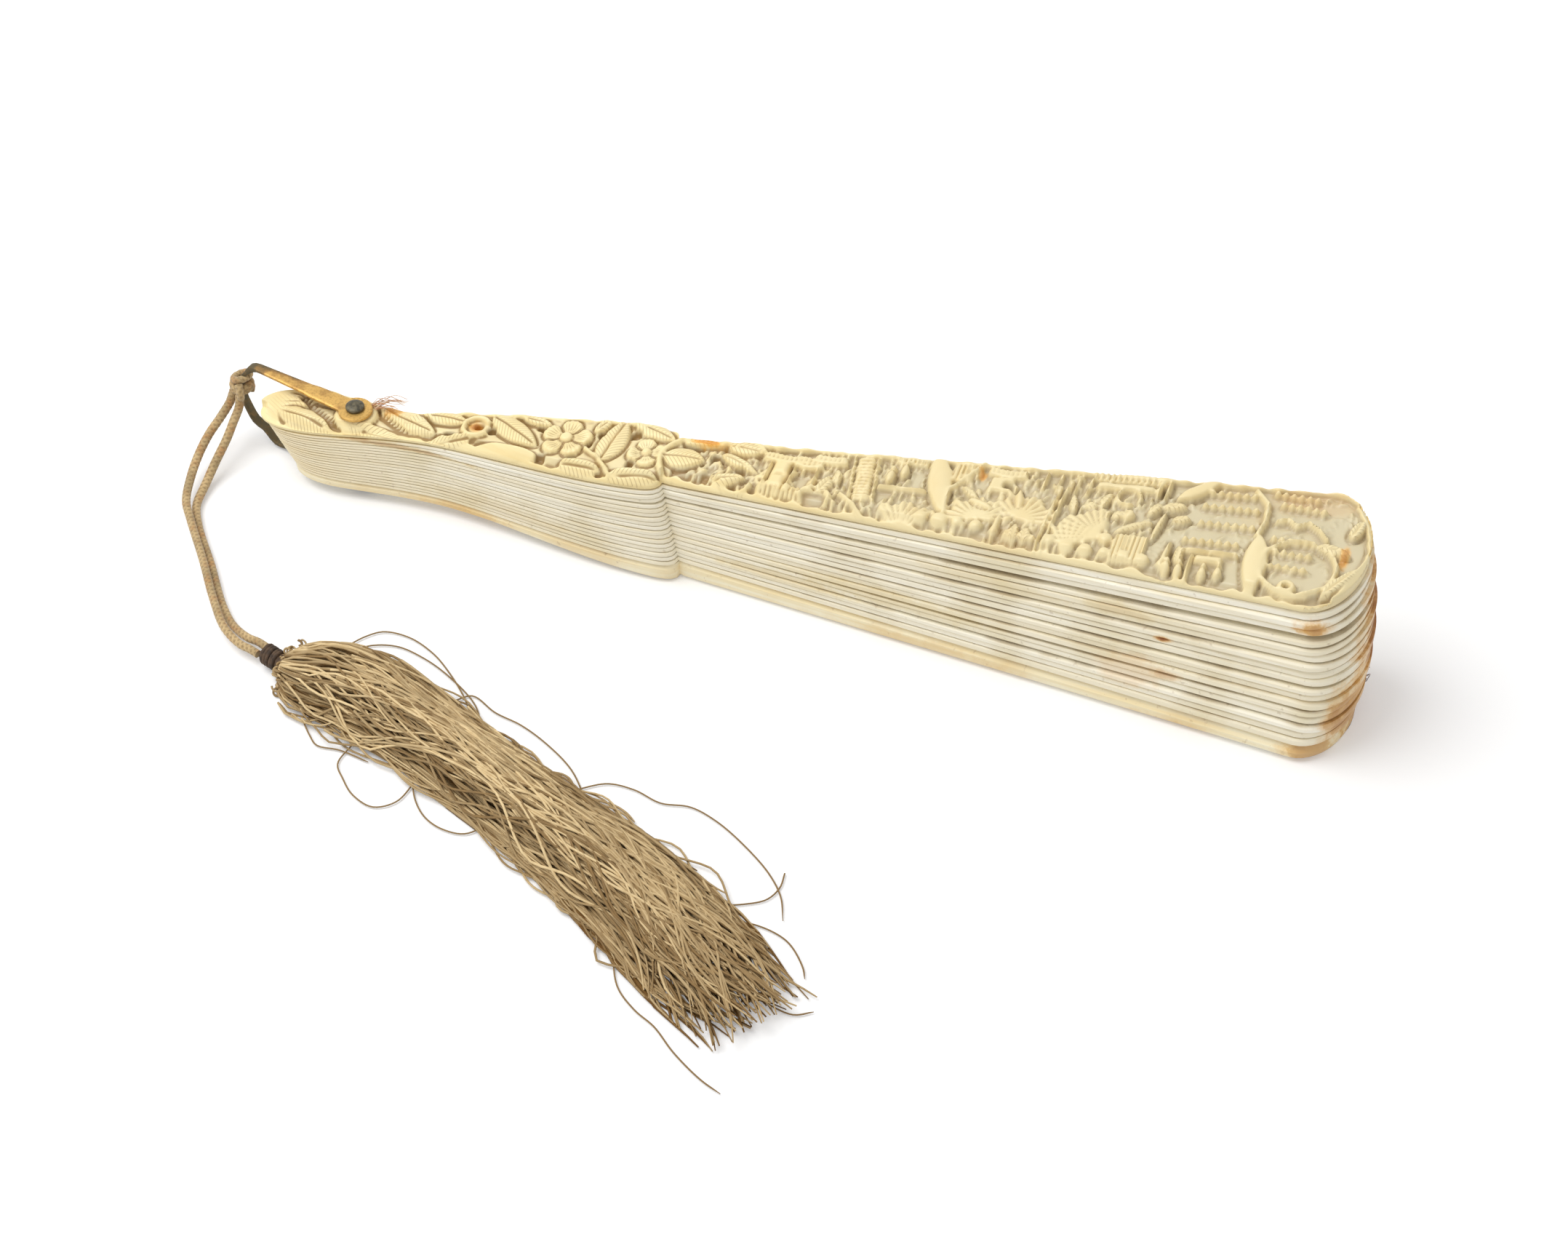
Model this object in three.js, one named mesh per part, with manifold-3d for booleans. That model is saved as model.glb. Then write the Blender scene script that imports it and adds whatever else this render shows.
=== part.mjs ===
// A folded brise fan of carved bone: two guards, thin sticks, a rivet, a brass bail, a cord and a tassel.
// Millimetres, +Z up. The origin is on the rivet axis at table level, and +X runs to the head of the fan.
import * as THREE from "three";
import { mergeVertices } from "three/addons/utils/BufferGeometryUtils.js";
import Module from "manifold-3d";

const wasm = await Module();
wasm.setup();

// Blade outline, seen from above
const TIP_X = -17.6;
const TIP_FULLNESS = 3.4;
const SWELL_X = -8;
const SWELL_HALF_WIDTH = 4.7;
const SWELL_REACH = 5;
const WAIST_X = 13;
const WAIST_HALF_WIDTH = 3.2;
const WAIST_REACH = 9;
const BULB_X = 51;
const BULB_HALF_WIDTH = 6.7;
const BULB_RISE_REACH = 12;
const BULB_FALL_REACH = 4.5;
const NOTCH_X = 58.4;
const NOTCH_HALF_WIDTH = 4.3;
const SHOULDER_LENGTH = 1.4;
const BLADE_SECTOR = THREE.MathUtils.degToRad(8.75);
const HEAD_X = 175.6;
const HEAD_ROUND = 8;
const CURVE_STEPS = 8;

// Stack of sticks: thicknesses and gaps at the rivet and at the head
const STICK_COUNT = 17;
const STICK_AT_RIVET = 0.45;
const STICK_AT_HEAD = 1.35;
const GAP_AT_RIVET = 0.16;
const GAP_AT_HEAD = 0.36;
const PARTED_STICK = 14;
const PARTED_EXTRA = 0.55;
const STACK_LEAN = 2.7;
const STACK_SKEW = THREE.MathUtils.degToRad(0.4);
const STAGGER = THREE.MathUtils.degToRad(0.09);
const STAGGER_STEP = 2.4;

// Ribbon slots in the sticks
const SLOT_LENGTH = 6;
const SLOT_WIDTH = 1;
const SLOT_FROM_HEAD = 10;
const SLOT_FROM_MIDDLE = 3.2;

// Guards
const BACK_GUARD_AT_HEAD = 3.1;
const BACK_GUARD_AT_RIVET = 1.9;
const BACK_FOOT_X = 62;
const BACK_RISE_X = 26;
const FRONT_GUARD_AT_EYE = 2.55;
const FRONT_GUARD_AT_TIP = 2.7;
const FRONT_GUARD_BLADE = 3.4;
const EYE_SEAT_BACK = 4;
const EYE_SEAT_FRONT = 7.5;
const FULL_RELIEF_X = 20;
const RELIEF_DEPTH = 1.3;
const RIM_WIDTH = 1.1;
const EYE_SEAT_RADIUS = 4;

// Rivet
const PIN_RADIUS = 0.9;
const PIN_CLEARANCE = 0.1;
const RIVET_HEAD_RADIUS = 1.65;
const LOWER_HEAD_HEIGHT = 0.55;
const UPPER_HEAD_HEIGHT = 0.8;
const UPPER_HEAD_EDGE = 0.3;
const STACK_CLEARANCE = 0.2;
const ROUND_SEGMENTS = 24;

// Bail: a strip bent to a U, with an eye at each end
const STRIP_THICKNESS = 0.7;
const BAIL_ANGLE = THREE.MathUtils.degToRad(167);
const EYE_RADIUS = 3;
const EYE_THICKNESS = 0.85;
const ARM_WIDTH_AT_EYE = 3.9;
const BOW_WIDTH = 1.7;
const BOW_RADIUS = 26.2;
const UPPER_BEND_LENGTH = 6.4;
const UPPER_BEND_HEIGHT = 2.7;
const LOWER_BEND_LENGTH = 4;
const LOWER_BEND_HEIGHT = 4;
const STRIP_CHAMFER = 0.15;
const BEND_STEPS = 8;

// Hitch knot on the bow and binding of the tassel: turns of thread side by side
const KNOT_Z = 12;
const KNOT_TURNS = 3;
const KNOT_TURN_RADIUS = 0.77;
const KNOT_BORE_CLEARANCE = 0.4;
const KNOT_WALL = 0.5;
const BINDING_TURNS = 5;
const BINDING_TURN_RADIUS = 0.46;
const BINDING_RADIUS = 2.1;
const BINDING_CENTRE = new THREE.Vector3(4.1, -46, 2.15);
const BINDING_ANGLE = THREE.MathUtils.degToRad(-20);
const TURN_STEPS = 4;

// Cord: two strands, each along points from the knot down to the table and on to the binding
const CORD_DIAMETER = 1.7;
const CORD_SIDES = 8;
const CORD_STEPS = 26;
const STRAND_A_POINTS = [
  [-27.3, 4.7, 9.3],
  [-27.5, 4.0, 8.3],
  [-28.1, 1.0, 7.0],
  [-29.0, -2.2, 5.5],
  [-29.2, -6.4, 4.1],
  [-28.6, -11.0, 3.0],
  [-26.9, -16.4, 2.5],
  [-24.0, -20.5, 2.5],
  [-17.5, -28.8, 2.5],
  [-11.4, -37.0, 2.5],
  [-6.6, -42.5, 2.4],
  [-2.6, -44.9, 2.15],
  [-0.6, -45.4, 2.15],
  [1.3, -46.05, 2.15],
];
const STRAND_B_POINTS = [
  [-25.3, 3.8, 9.3],
  [-25.3, 3.1, 8.3],
  [-25.3, 0.3, 7.0],
  [-25.5, -2.2, 5.4],
  [-26.0, -5.9, 3.4],
  [-26.2, -10.4, 1.5],
  [-25.6, -15.4, 0.95],
  [-23.1, -19.8, 0.9],
  [-16.5, -28.1, 0.9],
  [-10.3, -36.3, 0.9],
  [-6.2, -40.4, 1.1],
  [-2.2, -42.8, 1.8],
  [0.1, -43.45, 2.15],
  [2.0, -44.15, 2.15],
];

// Tassel: stations along the bundle, each with its middle, half width and height
const TASSEL_STATIONS = [
  { x: 6.6, y: -46.95, halfWidth: 1.9, height: 3.5, lift: 0.4 },
  { x: 9.4, y: -47.4, halfWidth: 5.0, height: 5.6, lift: 0.1 },
  { x: 15.8, y: -47.8, halfWidth: 8.4, height: 7.4, lift: 0 },
  { x: 23.5, y: -49.2, halfWidth: 9.3, height: 7.8, lift: 0 },
  { x: 39.4, y: -55.2, halfWidth: 8.6, height: 7.2, lift: 0 },
  { x: 55.8, y: -62.4, halfWidth: 8.4, height: 6.6, lift: 0 },
  { x: 71.5, y: -69.4, halfWidth: 9.2, height: 6.0, lift: 0 },
  { x: 82.5, y: -75.6, halfWidth: 10.2, height: 5.4, lift: 0 },
  { x: 94.0, y: -83.2, halfWidth: 9.8, height: 4.6, lift: 0 },
  { x: 103.0, y: -89.6, halfWidth: 8.4, height: 3.8, lift: 0 },
];
const TASSEL_FLUTES = 13;
const TASSEL_FLUTE_DEPTH = 0.07;
const TASSEL_ARC_POINTS = 26;
const TASSEL_RAGGED = 4.5;
const TASSEL_RAGGED_STEP = 1.9;

// Motifs carved on the front guard: where each stands on the guard, its turn and its size
const LEAVES = [
  { x: -12.6, y: 0.6, turn: 170, length: 8, width: 4.4 },
  { x: -6.4, y: -2.4, turn: 200, length: 7, width: 2.6 },
  { x: 10.5, y: 0, turn: 8, length: 9, width: 3.6 },
  { x: 21.5, y: 1.2, turn: 15, length: 8, width: 3 },
  { x: 26.5, y: -2.2, turn: -10, length: 11, width: 2.8 },
  { x: 50, y: 1.6, turn: 60, length: 8, width: 4.4 },
  { x: 49, y: -3.4, turn: 10, length: 9, width: 3.4 },
  { x: 67, y: 0.6, turn: 0, length: 9, width: 5.4 },
  { x: 150, y: 7, turn: 25, length: 14, width: 4 },
];
const FLOWERS = [{ x: 39.5, y: 0.6, radius: 4.3, petals: 6 }];
const ROOFS = [
  { x: 81, y: 3.4, width: 11, height: 3.2 },
  { x: 93, y: 2.6, width: 9, height: 5 },
  { x: 109, y: 4.6, width: 11, height: 4 },
  { x: 134, y: 6.4, width: 15, height: 4.6 },
  { x: 149, y: -3.4, width: 13, height: 4 },
];
const PINES = [
  { x: 103, y: -5.4, turn: 90, radius: 5.4, spread: 150 },
  { x: 117, y: -6.4, turn: 100, radius: 6.4, spread: 150 },
  { x: 136, y: -5, turn: 80, radius: 6, spread: 140 },
];
const POLES = [
  { x: 123.5, y: 0, turn: 62, length: 15, width: 1 },
  { x: 126.5, y: 0, turn: 62, length: 15, width: 1 },
];
const RINGS = [{ x: 163, y: -2.8, radius: 6.6, band: 1.1 }];
const RIDGE_SHARE = 0.5;
const EAVE_CURL = 0.25;
const PETAL_DEPTH = 0.22;
const PETAL_STEPS = 6;
const MOTIF_CURVE_STEPS = 5;

// Materials
const bone = () => new THREE.MeshStandardMaterial({ color: 0xebd9a8, roughness: 0.5, metalness: 0 });
const paleBone = () => new THREE.MeshStandardMaterial({ color: 0xe0dccc, roughness: 0.55, metalness: 0 });
const brass = () => new THREE.MeshStandardMaterial({ color: 0xc8a050, roughness: 0.35, metalness: 1 });
const darkMetal = () => new THREE.MeshStandardMaterial({ color: 0x4b463c, roughness: 0.45, metalness: 1 });
const tanThread = () => new THREE.MeshStandardMaterial({ color: 0xa58c64, roughness: 0.9, metalness: 0 });
const darkThread = () => new THREE.MeshStandardMaterial({ color: 0x3c2d23, roughness: 0.9, metalness: 0 });

// Heights that follow from the stack, bottom to top
const HOLE_RADIUS = PIN_RADIUS + PIN_CLEARANCE;
const ARM_START = (HOLE_RADIUS + EYE_RADIUS) / 2;
const LOWER_EYE_Z = LOWER_HEAD_HEIGHT + STACK_CLEARANCE;
const BACK_GUARD_Z = LOWER_EYE_Z + EYE_THICKNESS + STACK_CLEARANCE;
const BACK_TOP_AT_RIVET = BACK_GUARD_Z + BACK_GUARD_AT_RIVET;
const BACK_GUARD_INDEX = -1;
const FRONT_GUARD_INDEX = STICK_COUNT;
const FRONT_UNDERSIDE = undersideOfLayer(FRONT_GUARD_INDEX);
const UPPER_EYE_Z = FRONT_UNDERSIDE(0) + FRONT_GUARD_AT_EYE + STACK_CLEARANCE;
const UPPER_HEAD_Z = UPPER_EYE_Z + EYE_THICKNESS + STACK_CLEARANCE;
const ABOVE_ALL = UPPER_HEAD_Z + FRONT_UNDERSIDE(HEAD_X) + FRONT_GUARD_BLADE;

// A height that changes evenly from the rivet to the head.
function slope(atRivet, atHead) {
  return (x) => atRivet + ((atHead - atRivet) * x) / HEAD_X;
}

// The underside of a layer of the stack: sticks count from 0, the back guard comes before, the front after.
function undersideOfLayer(layer) {
  const parted = layer >= PARTED_STICK ? PARTED_EXTRA : 0;
  const atRivet = BACK_TOP_AT_RIVET + GAP_AT_RIVET + layer * (STICK_AT_RIVET + GAP_AT_RIVET);
  const atHead = BACK_GUARD_AT_HEAD + GAP_AT_HEAD + layer * (STICK_AT_HEAD + GAP_AT_HEAD) + parted;
  return slope(atRivet, atHead);
}

// A layer's small turn about the rivet in the closed stack.
function turnOfLayer(layer) {
  const share = (layer + 1) / (STICK_COUNT + 1);
  return STACK_SKEW * (share - 1 / 2) + STAGGER * Math.sin(layer * STAGGER_STEP);
}

// How far a layer's outline stands ahead of the front guard's, because the stack leans along X.
function leanOfLayer(layer) {
  return STACK_LEAN * (1 - (layer + 1) / (STICK_COUNT + 1));
}

function sectorHalfWidth(x) {
  return x * Math.tan(BLADE_SECTOR / 2);
}

// The outline shared by guards and sticks, moved along X by a lean and drawn in by an even inset.
function bladeOutline(lean, inset = 0) {
  const half = new THREE.Path();
  const tip = TIP_X + inset;
  const swell = SWELL_HALF_WIDTH - inset;
  const waist = WAIST_HALF_WIDTH - inset;
  const bulb = BULB_HALF_WIDTH - inset;
  const notch = NOTCH_HALF_WIDTH - inset;
  const shoulder = NOTCH_X + SHOULDER_LENGTH;
  const roundX = HEAD_X - HEAD_ROUND;
  const headHalfWidth = sectorHalfWidth(roundX) - inset;
  half.moveTo(tip, 0);
  half.bezierCurveTo(tip, -TIP_FULLNESS, SWELL_X - SWELL_REACH, -swell, SWELL_X, -swell);
  half.bezierCurveTo(SWELL_X + SWELL_REACH, -swell, WAIST_X - WAIST_REACH, -waist, WAIST_X, -waist);
  half.bezierCurveTo(WAIST_X + WAIST_REACH, -waist, BULB_X - BULB_RISE_REACH, -bulb, BULB_X, -bulb);
  half.bezierCurveTo(BULB_X + BULB_FALL_REACH, -bulb, NOTCH_X, -bulb, NOTCH_X, -notch);
  half.lineTo(shoulder, -(sectorHalfWidth(shoulder) - inset));
  half.lineTo(roundX, -headHalfWidth);
  half.absellipse(roundX, 0, HEAD_ROUND - inset, headHalfWidth, -Math.PI / 2, 0, false);
  const lower = half.getPoints(CURVE_STEPS);
  const upper = lower.slice(1, -1).reverse().map((p) => new THREE.Vector2(p.x, -p.y));
  return [...lower, ...upper].map((p) => new THREE.Vector2(p.x + lean, p.y));
}

function roundHole(radius) {
  return new THREE.Path().absarc(0, 0, radius, 0, 2 * Math.PI, true);
}

function slotHole(x, y, length, width) {
  const slot = new THREE.Path();
  slot.moveTo(x - length / 2, y - width / 2);
  slot.lineTo(x - length / 2, y + width / 2);
  slot.lineTo(x + length / 2, y + width / 2);
  slot.lineTo(x + length / 2, y - width / 2);
  slot.closePath();
  return slot;
}

// A plate whose underside and top follow two heights along X.
function plateBetween(shape, underside, top) {
  const options = { depth: 1, bevelEnabled: false, curveSegments: ROUND_SEGMENTS / 2 };
  const geometry = new THREE.ExtrudeGeometry(shape, options);
  const position = geometry.attributes.position;
  for (let i = 0; i < position.count; i++) {
    const x = position.getX(i);
    const level = position.getZ(i);
    position.setZ(i, underside(x) + level * (top(x) - underside(x)));
  }
  return geometry;
}

// A closed geometry as a solid for joining and cutting, and back again.
function solid(geometry) {
  const bare = geometry.clone();
  bare.deleteAttribute("normal");
  bare.deleteAttribute("uv");
  const merged = mergeVertices(bare);
  const vertProperties = merged.attributes.position.array;
  const triVerts = new Uint32Array(merged.index.array);
  return new wasm.Manifold(new wasm.Mesh({ numProp: 3, vertProperties, triVerts }));
}

function geometryOf(manifold) {
  const mesh = manifold.getMesh();
  const geometry = new THREE.BufferGeometry();
  geometry.setAttribute("position", new THREE.BufferAttribute(mesh.vertProperties, 3));
  geometry.setIndex(new THREE.BufferAttribute(mesh.triVerts, 1));
  geometry.computeVertexNormals();
  return geometry;
}

// A plan shape as an upright prism from the table to above everything.
function planPrism(points) {
  const shape = new THREE.Shape(points);
  const options = { depth: ABOVE_ALL, bevelEnabled: false, curveSegments: MOTIF_CURVE_STEPS };
  return solid(new THREE.ExtrudeGeometry(shape, options));
}

// A side view in X and Z as a prism across the whole width.
function sidePrism(points) {
  const reach = 2 * sectorHalfWidth(HEAD_X);
  const options = { depth: 2 * reach, bevelEnabled: false };
  const geometry = new THREE.ExtrudeGeometry(new THREE.Shape(points), options);
  geometry.rotateX(Math.PI / 2);
  geometry.translate(0, reach, 0);
  return solid(geometry);
}

function uprightCylinder(radius, bottom, top) {
  const geometry = new THREE.CylinderGeometry(radius, radius, top - bottom, ROUND_SEGMENTS);
  geometry.rotateX(Math.PI / 2);
  geometry.translate(0, 0, (bottom + top) / 2);
  return solid(geometry);
}

// A closed skin over rings of points that all have the same count.
function loft(rings) {
  const count = rings[0].length;
  const middle = (ring) => ring.reduce((sum, p) => sum.add(p), new THREE.Vector3()).divideScalar(count);
  const vertices = [...rings.flat(), middle(rings[0]), middle(rings.at(-1))];
  const firstMiddle = rings.length * count;
  const lastMiddle = firstMiddle + 1;
  const lastRing = (rings.length - 1) * count;
  const index = [];
  for (let k = 0; k < count; k++) {
    const next = (k + 1) % count;
    for (let ring = 0; ring < lastRing; ring += count) {
      index.push(ring + k, ring + next, ring + count + next);
      index.push(ring + k, ring + count + next, ring + count + k);
    }
    index.push(firstMiddle, next, k);
    index.push(lastMiddle, lastRing + k, lastRing + next);
  }
  const geometry = new THREE.BufferGeometry().setFromPoints(vertices);
  geometry.setIndex(index);
  geometry.computeVertexNormals();
  return geometry;
}

function mesh(name, geometry, material) {
  const made = new THREE.Mesh(geometry, material);
  made.name = name;
  return made;
}

// Motif outlines, each about its own middle
function leafOutline({ length, width }) {
  const leaf = new THREE.Shape();
  leaf.moveTo(-length / 2, 0);
  leaf.quadraticCurveTo(0, -width, length / 2, 0);
  leaf.quadraticCurveTo(0, width, -length / 2, 0);
  return leaf.getPoints(MOTIF_CURVE_STEPS).slice(0, -1);
}

function flowerOutline({ radius, petals }) {
  const points = [];
  const steps = petals * PETAL_STEPS;
  for (let k = 0; k < steps; k++) {
    const angle = (2 * Math.PI * k) / steps;
    const reach = radius * (1 - PETAL_DEPTH + PETAL_DEPTH * Math.cos(petals * angle));
    points.push(new THREE.Vector2(reach * Math.cos(angle), reach * Math.sin(angle)));
  }
  return points;
}

function roofOutline({ width, height }) {
  const ridge = RIDGE_SHARE * width;
  const curl = EAVE_CURL * height;
  const roof = new THREE.Shape();
  roof.moveTo(-width / 2, 0);
  roof.lineTo(width / 2, 0);
  roof.quadraticCurveTo(ridge / 2, curl, ridge / 2, height);
  roof.lineTo(-ridge / 2, height);
  roof.quadraticCurveTo(-ridge / 2, curl, -width / 2, 0);
  return roof.getPoints(MOTIF_CURVE_STEPS).slice(0, -1);
}

function pineOutline({ radius, spread }) {
  const half = THREE.MathUtils.degToRad(spread / 2);
  const pine = new THREE.Shape();
  pine.moveTo(0, 0);
  pine.absarc(0, 0, radius, -half, half, false);
  return pine.getPoints(MOTIF_CURVE_STEPS);
}

function poleOutline({ length, width }) {
  const pole = new THREE.Shape();
  pole.moveTo(-length / 2, -width / 2);
  pole.lineTo(length / 2, -width / 2);
  pole.lineTo(length / 2, width / 2);
  pole.lineTo(-length / 2, width / 2);
  return pole.getPoints();
}

function discOutline(radius) {
  const circle = new THREE.Path().absarc(0, 0, radius, 0, 2 * Math.PI, false);
  return circle.getPoints(ROUND_SEGMENTS / 2).slice(0, -1);
}

// A motif's outline moved to its place on the guard, as an upright prism.
function motifPrism(outline, motif) {
  const turn = THREE.MathUtils.degToRad(motif.turn ?? 0);
  const centre = new THREE.Vector2();
  const place = new THREE.Vector2(motif.x, motif.y);
  return planPrism(outline.map((p) => p.clone().rotateAround(centre, turn).add(place)));
}

function frontMotifs() {
  const motifs = [
    ...LEAVES.map((motif) => motifPrism(leafOutline(motif), motif)),
    ...FLOWERS.map((motif) => motifPrism(flowerOutline(motif), motif)),
    ...ROOFS.map((motif) => motifPrism(roofOutline(motif), motif)),
    ...PINES.map((motif) => motifPrism(pineOutline(motif), motif)),
    ...POLES.map((motif) => motifPrism(poleOutline(motif), motif)),
  ];
  for (const ring of RINGS) {
    const outer = motifPrism(discOutline(ring.radius), ring);
    const inner = motifPrism(discOutline(ring.radius - ring.band), ring);
    motifs.push(outer.subtract(inner));
  }
  return motifs.reduce((all, motif) => all.add(motif));
}

// The front guard: a ground with a raised rim, an eye seat and carved motifs, all under one side view.
function makeFrontGuard() {
  const point = (x, rise) => new THREE.Vector2(x, FRONT_UNDERSIDE(x) + rise);
  const eyeTop = FRONT_UNDERSIDE(0) + FRONT_GUARD_AT_EYE;
  const fullTop = [
    point(HEAD_X, FRONT_GUARD_BLADE),
    point(FULL_RELIEF_X, FRONT_GUARD_BLADE),
    new THREE.Vector2(EYE_SEAT_FRONT, eyeTop),
    new THREE.Vector2(-EYE_SEAT_BACK, eyeTop),
    point(TIP_X, FRONT_GUARD_AT_TIP),
  ];
  const underside = [point(TIP_X, 0), point(HEAD_X, 0)];
  const groundTop = fullTop.map((p) => new THREE.Vector2(p.x, p.y - RELIEF_DEPTH));
  const lean = leanOfLayer(FRONT_GUARD_INDEX);
  const plan = planPrism(bladeOutline(lean));
  const rim = plan.subtract(planPrism(bladeOutline(lean, RIM_WIDTH)));
  const seat = uprightCylinder(EYE_SEAT_RADIUS, 0, ABOVE_ALL);
  const raised = rim.add(seat).add(frontMotifs());
  const relief = plan.intersect(sidePrism([...underside, ...fullTop])).intersect(raised);
  const ground = plan.intersect(sidePrism([...underside, ...groundTop]));
  const hole = uprightCylinder(HOLE_RADIUS, 0, ABOVE_ALL);
  const guard = mesh("front_guard", geometryOf(ground.add(relief).subtract(hole)), bone());
  guard.rotation.z = turnOfLayer(FRONT_GUARD_INDEX);
  return guard;
}

// The back guard: flat on the table under the blade, raised behind it for the bail and the rivet head.
function makeBackGuard() {
  const top = slope(BACK_TOP_AT_RIVET, BACK_GUARD_AT_HEAD);
  const lean = leanOfLayer(BACK_GUARD_INDEX);
  const headX = HEAD_X + lean;
  const side = [
    new THREE.Vector2(TIP_X, BACK_GUARD_Z),
    new THREE.Vector2(BACK_RISE_X, BACK_GUARD_Z),
    new THREE.Vector2(BACK_FOOT_X, 0),
    new THREE.Vector2(headX, 0),
    new THREE.Vector2(headX, top(headX)),
    new THREE.Vector2(TIP_X, top(TIP_X)),
  ];
  const hole = uprightCylinder(HOLE_RADIUS, 0, ABOVE_ALL);
  const body = planPrism(bladeOutline(lean)).intersect(sidePrism(side)).subtract(hole);
  const guard = mesh("back_guard", geometryOf(body), bone());
  guard.rotation.z = turnOfLayer(BACK_GUARD_INDEX);
  return guard;
}

// One inner stick: a thin wedge with a rivet hole and two slots for the ribbon.
function makeStick(layer) {
  const lean = leanOfLayer(layer);
  const shape = new THREE.Shape(bladeOutline(lean));
  const slotX = HEAD_X + lean - SLOT_FROM_HEAD - SLOT_LENGTH / 2;
  shape.holes.push(roundHole(HOLE_RADIUS));
  for (const side of [-1, 1]) {
    shape.holes.push(slotHole(slotX, side * SLOT_FROM_MIDDLE, SLOT_LENGTH, SLOT_WIDTH));
  }
  const underside = undersideOfLayer(layer);
  const thickness = slope(STICK_AT_RIVET, STICK_AT_HEAD);
  const geometry = plateBetween(shape, underside, (x) => underside(x) + thickness(x));
  const number = String(layer + 1).padStart(2, "0");
  const stick = mesh(`stick_${number}`, geometry, paleBone());
  stick.rotation.z = turnOfLayer(layer);
  return stick;
}

// The rivet: a pin with a flat lower head and a domed upper head.
function makeRivet() {
  const top = UPPER_HEAD_Z + UPPER_HEAD_HEIGHT;
  const profile = new THREE.Path();
  profile.moveTo(0, 0);
  profile.lineTo(RIVET_HEAD_RADIUS, 0);
  profile.lineTo(RIVET_HEAD_RADIUS, LOWER_HEAD_HEIGHT);
  profile.lineTo(PIN_RADIUS, LOWER_HEAD_HEIGHT);
  profile.lineTo(PIN_RADIUS, UPPER_HEAD_Z);
  profile.lineTo(RIVET_HEAD_RADIUS, UPPER_HEAD_Z);
  profile.lineTo(RIVET_HEAD_RADIUS, UPPER_HEAD_Z + UPPER_HEAD_EDGE);
  profile.quadraticCurveTo(RIVET_HEAD_RADIUS, top, 0, top);
  const geometry = new THREE.LatheGeometry(profile.getPoints(CURVE_STEPS), ROUND_SEGMENTS);
  geometry.rotateX(Math.PI / 2);
  return mesh("rivet", geometry, darkMetal());
}

// The bail's middle line from the lower eye round the bow to the upper eye, in radius and height.
function bailLine() {
  const lowerZ = LOWER_EYE_Z + EYE_THICKNESS / 2;
  const upperZ = UPPER_EYE_Z + EYE_THICKNESS / 2;
  const lowerBendX = BOW_RADIUS - LOWER_BEND_LENGTH;
  const lowerBendZ = lowerZ + LOWER_BEND_HEIGHT;
  const upperBendX = BOW_RADIUS - UPPER_BEND_LENGTH;
  const upperBendZ = upperZ - UPPER_BEND_HEIGHT;
  const line = new THREE.Path();
  line.moveTo(ARM_START, lowerZ);
  line.lineTo(lowerBendX, lowerZ);
  line.absellipse(lowerBendX, lowerBendZ, LOWER_BEND_LENGTH, LOWER_BEND_HEIGHT, -Math.PI / 2, 0, false);
  line.lineTo(BOW_RADIUS, upperBendZ);
  line.absellipse(upperBendX, upperBendZ, UPPER_BEND_LENGTH, UPPER_BEND_HEIGHT, 0, Math.PI / 2, false);
  line.lineTo(ARM_START, upperZ);
  return line.getPoints(BEND_STEPS);
}

// The strip's section at one point of the bail, with its corners taken off.
function stripRing(point, along, width) {
  const a = width / 2;
  const b = STRIP_THICKNESS / 2;
  const c = STRIP_CHAMFER;
  const corners = [
    [a, -b + c],
    [a, b - c],
    [a - c, b],
    [-a + c, b],
    [-a, b - c],
    [-a, -b + c],
    [-a + c, -b],
    [a - c, -b],
  ];
  return corners.map(([y, n]) => new THREE.Vector3(point.x - n * along.y, y, point.y + n * along.x));
}

function makeBail() {
  const line = bailLine();
  const bendX = BOW_RADIUS - UPPER_BEND_LENGTH;
  const rings = line.map((point, k) => {
    const before = line[Math.max(k - 1, 0)];
    const after = line[Math.min(k + 1, line.length - 1)];
    const along = after.clone().sub(before).normalize();
    const share = Math.min((point.x - ARM_START) / (bendX - ARM_START), 1);
    return stripRing(point, along, THREE.MathUtils.lerp(ARM_WIDTH_AT_EYE, BOW_WIDTH, share));
  });
  const lowerEye = uprightCylinder(EYE_RADIUS, LOWER_EYE_Z, LOWER_EYE_Z + EYE_THICKNESS);
  const upperEye = uprightCylinder(EYE_RADIUS, UPPER_EYE_Z, UPPER_EYE_Z + EYE_THICKNESS);
  const hole = uprightCylinder(HOLE_RADIUS, 0, ABOVE_ALL);
  const body = solid(loft(rings)).add(lowerEye).add(upperEye).subtract(hole);
  const bail = mesh("bail", geometryOf(body), brass());
  bail.rotation.z = BAIL_ANGLE;
  return bail;
}

// Turns of thread side by side along an axis: a round profile with one bulge for each turn.
function turnsProfile(outerRadius, turnRadius, turns) {
  const profile = new THREE.Path();
  const middle = outerRadius - turnRadius;
  const start = -turns * turnRadius;
  profile.moveTo(middle, start);
  for (let k = 0; k < turns; k++) {
    const centre = start + (2 * k + 1) * turnRadius;
    profile.absarc(middle, centre, turnRadius, -Math.PI / 2, Math.PI / 2, false);
  }
  return profile.getPoints(TURN_STEPS / 2);
}

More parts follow.
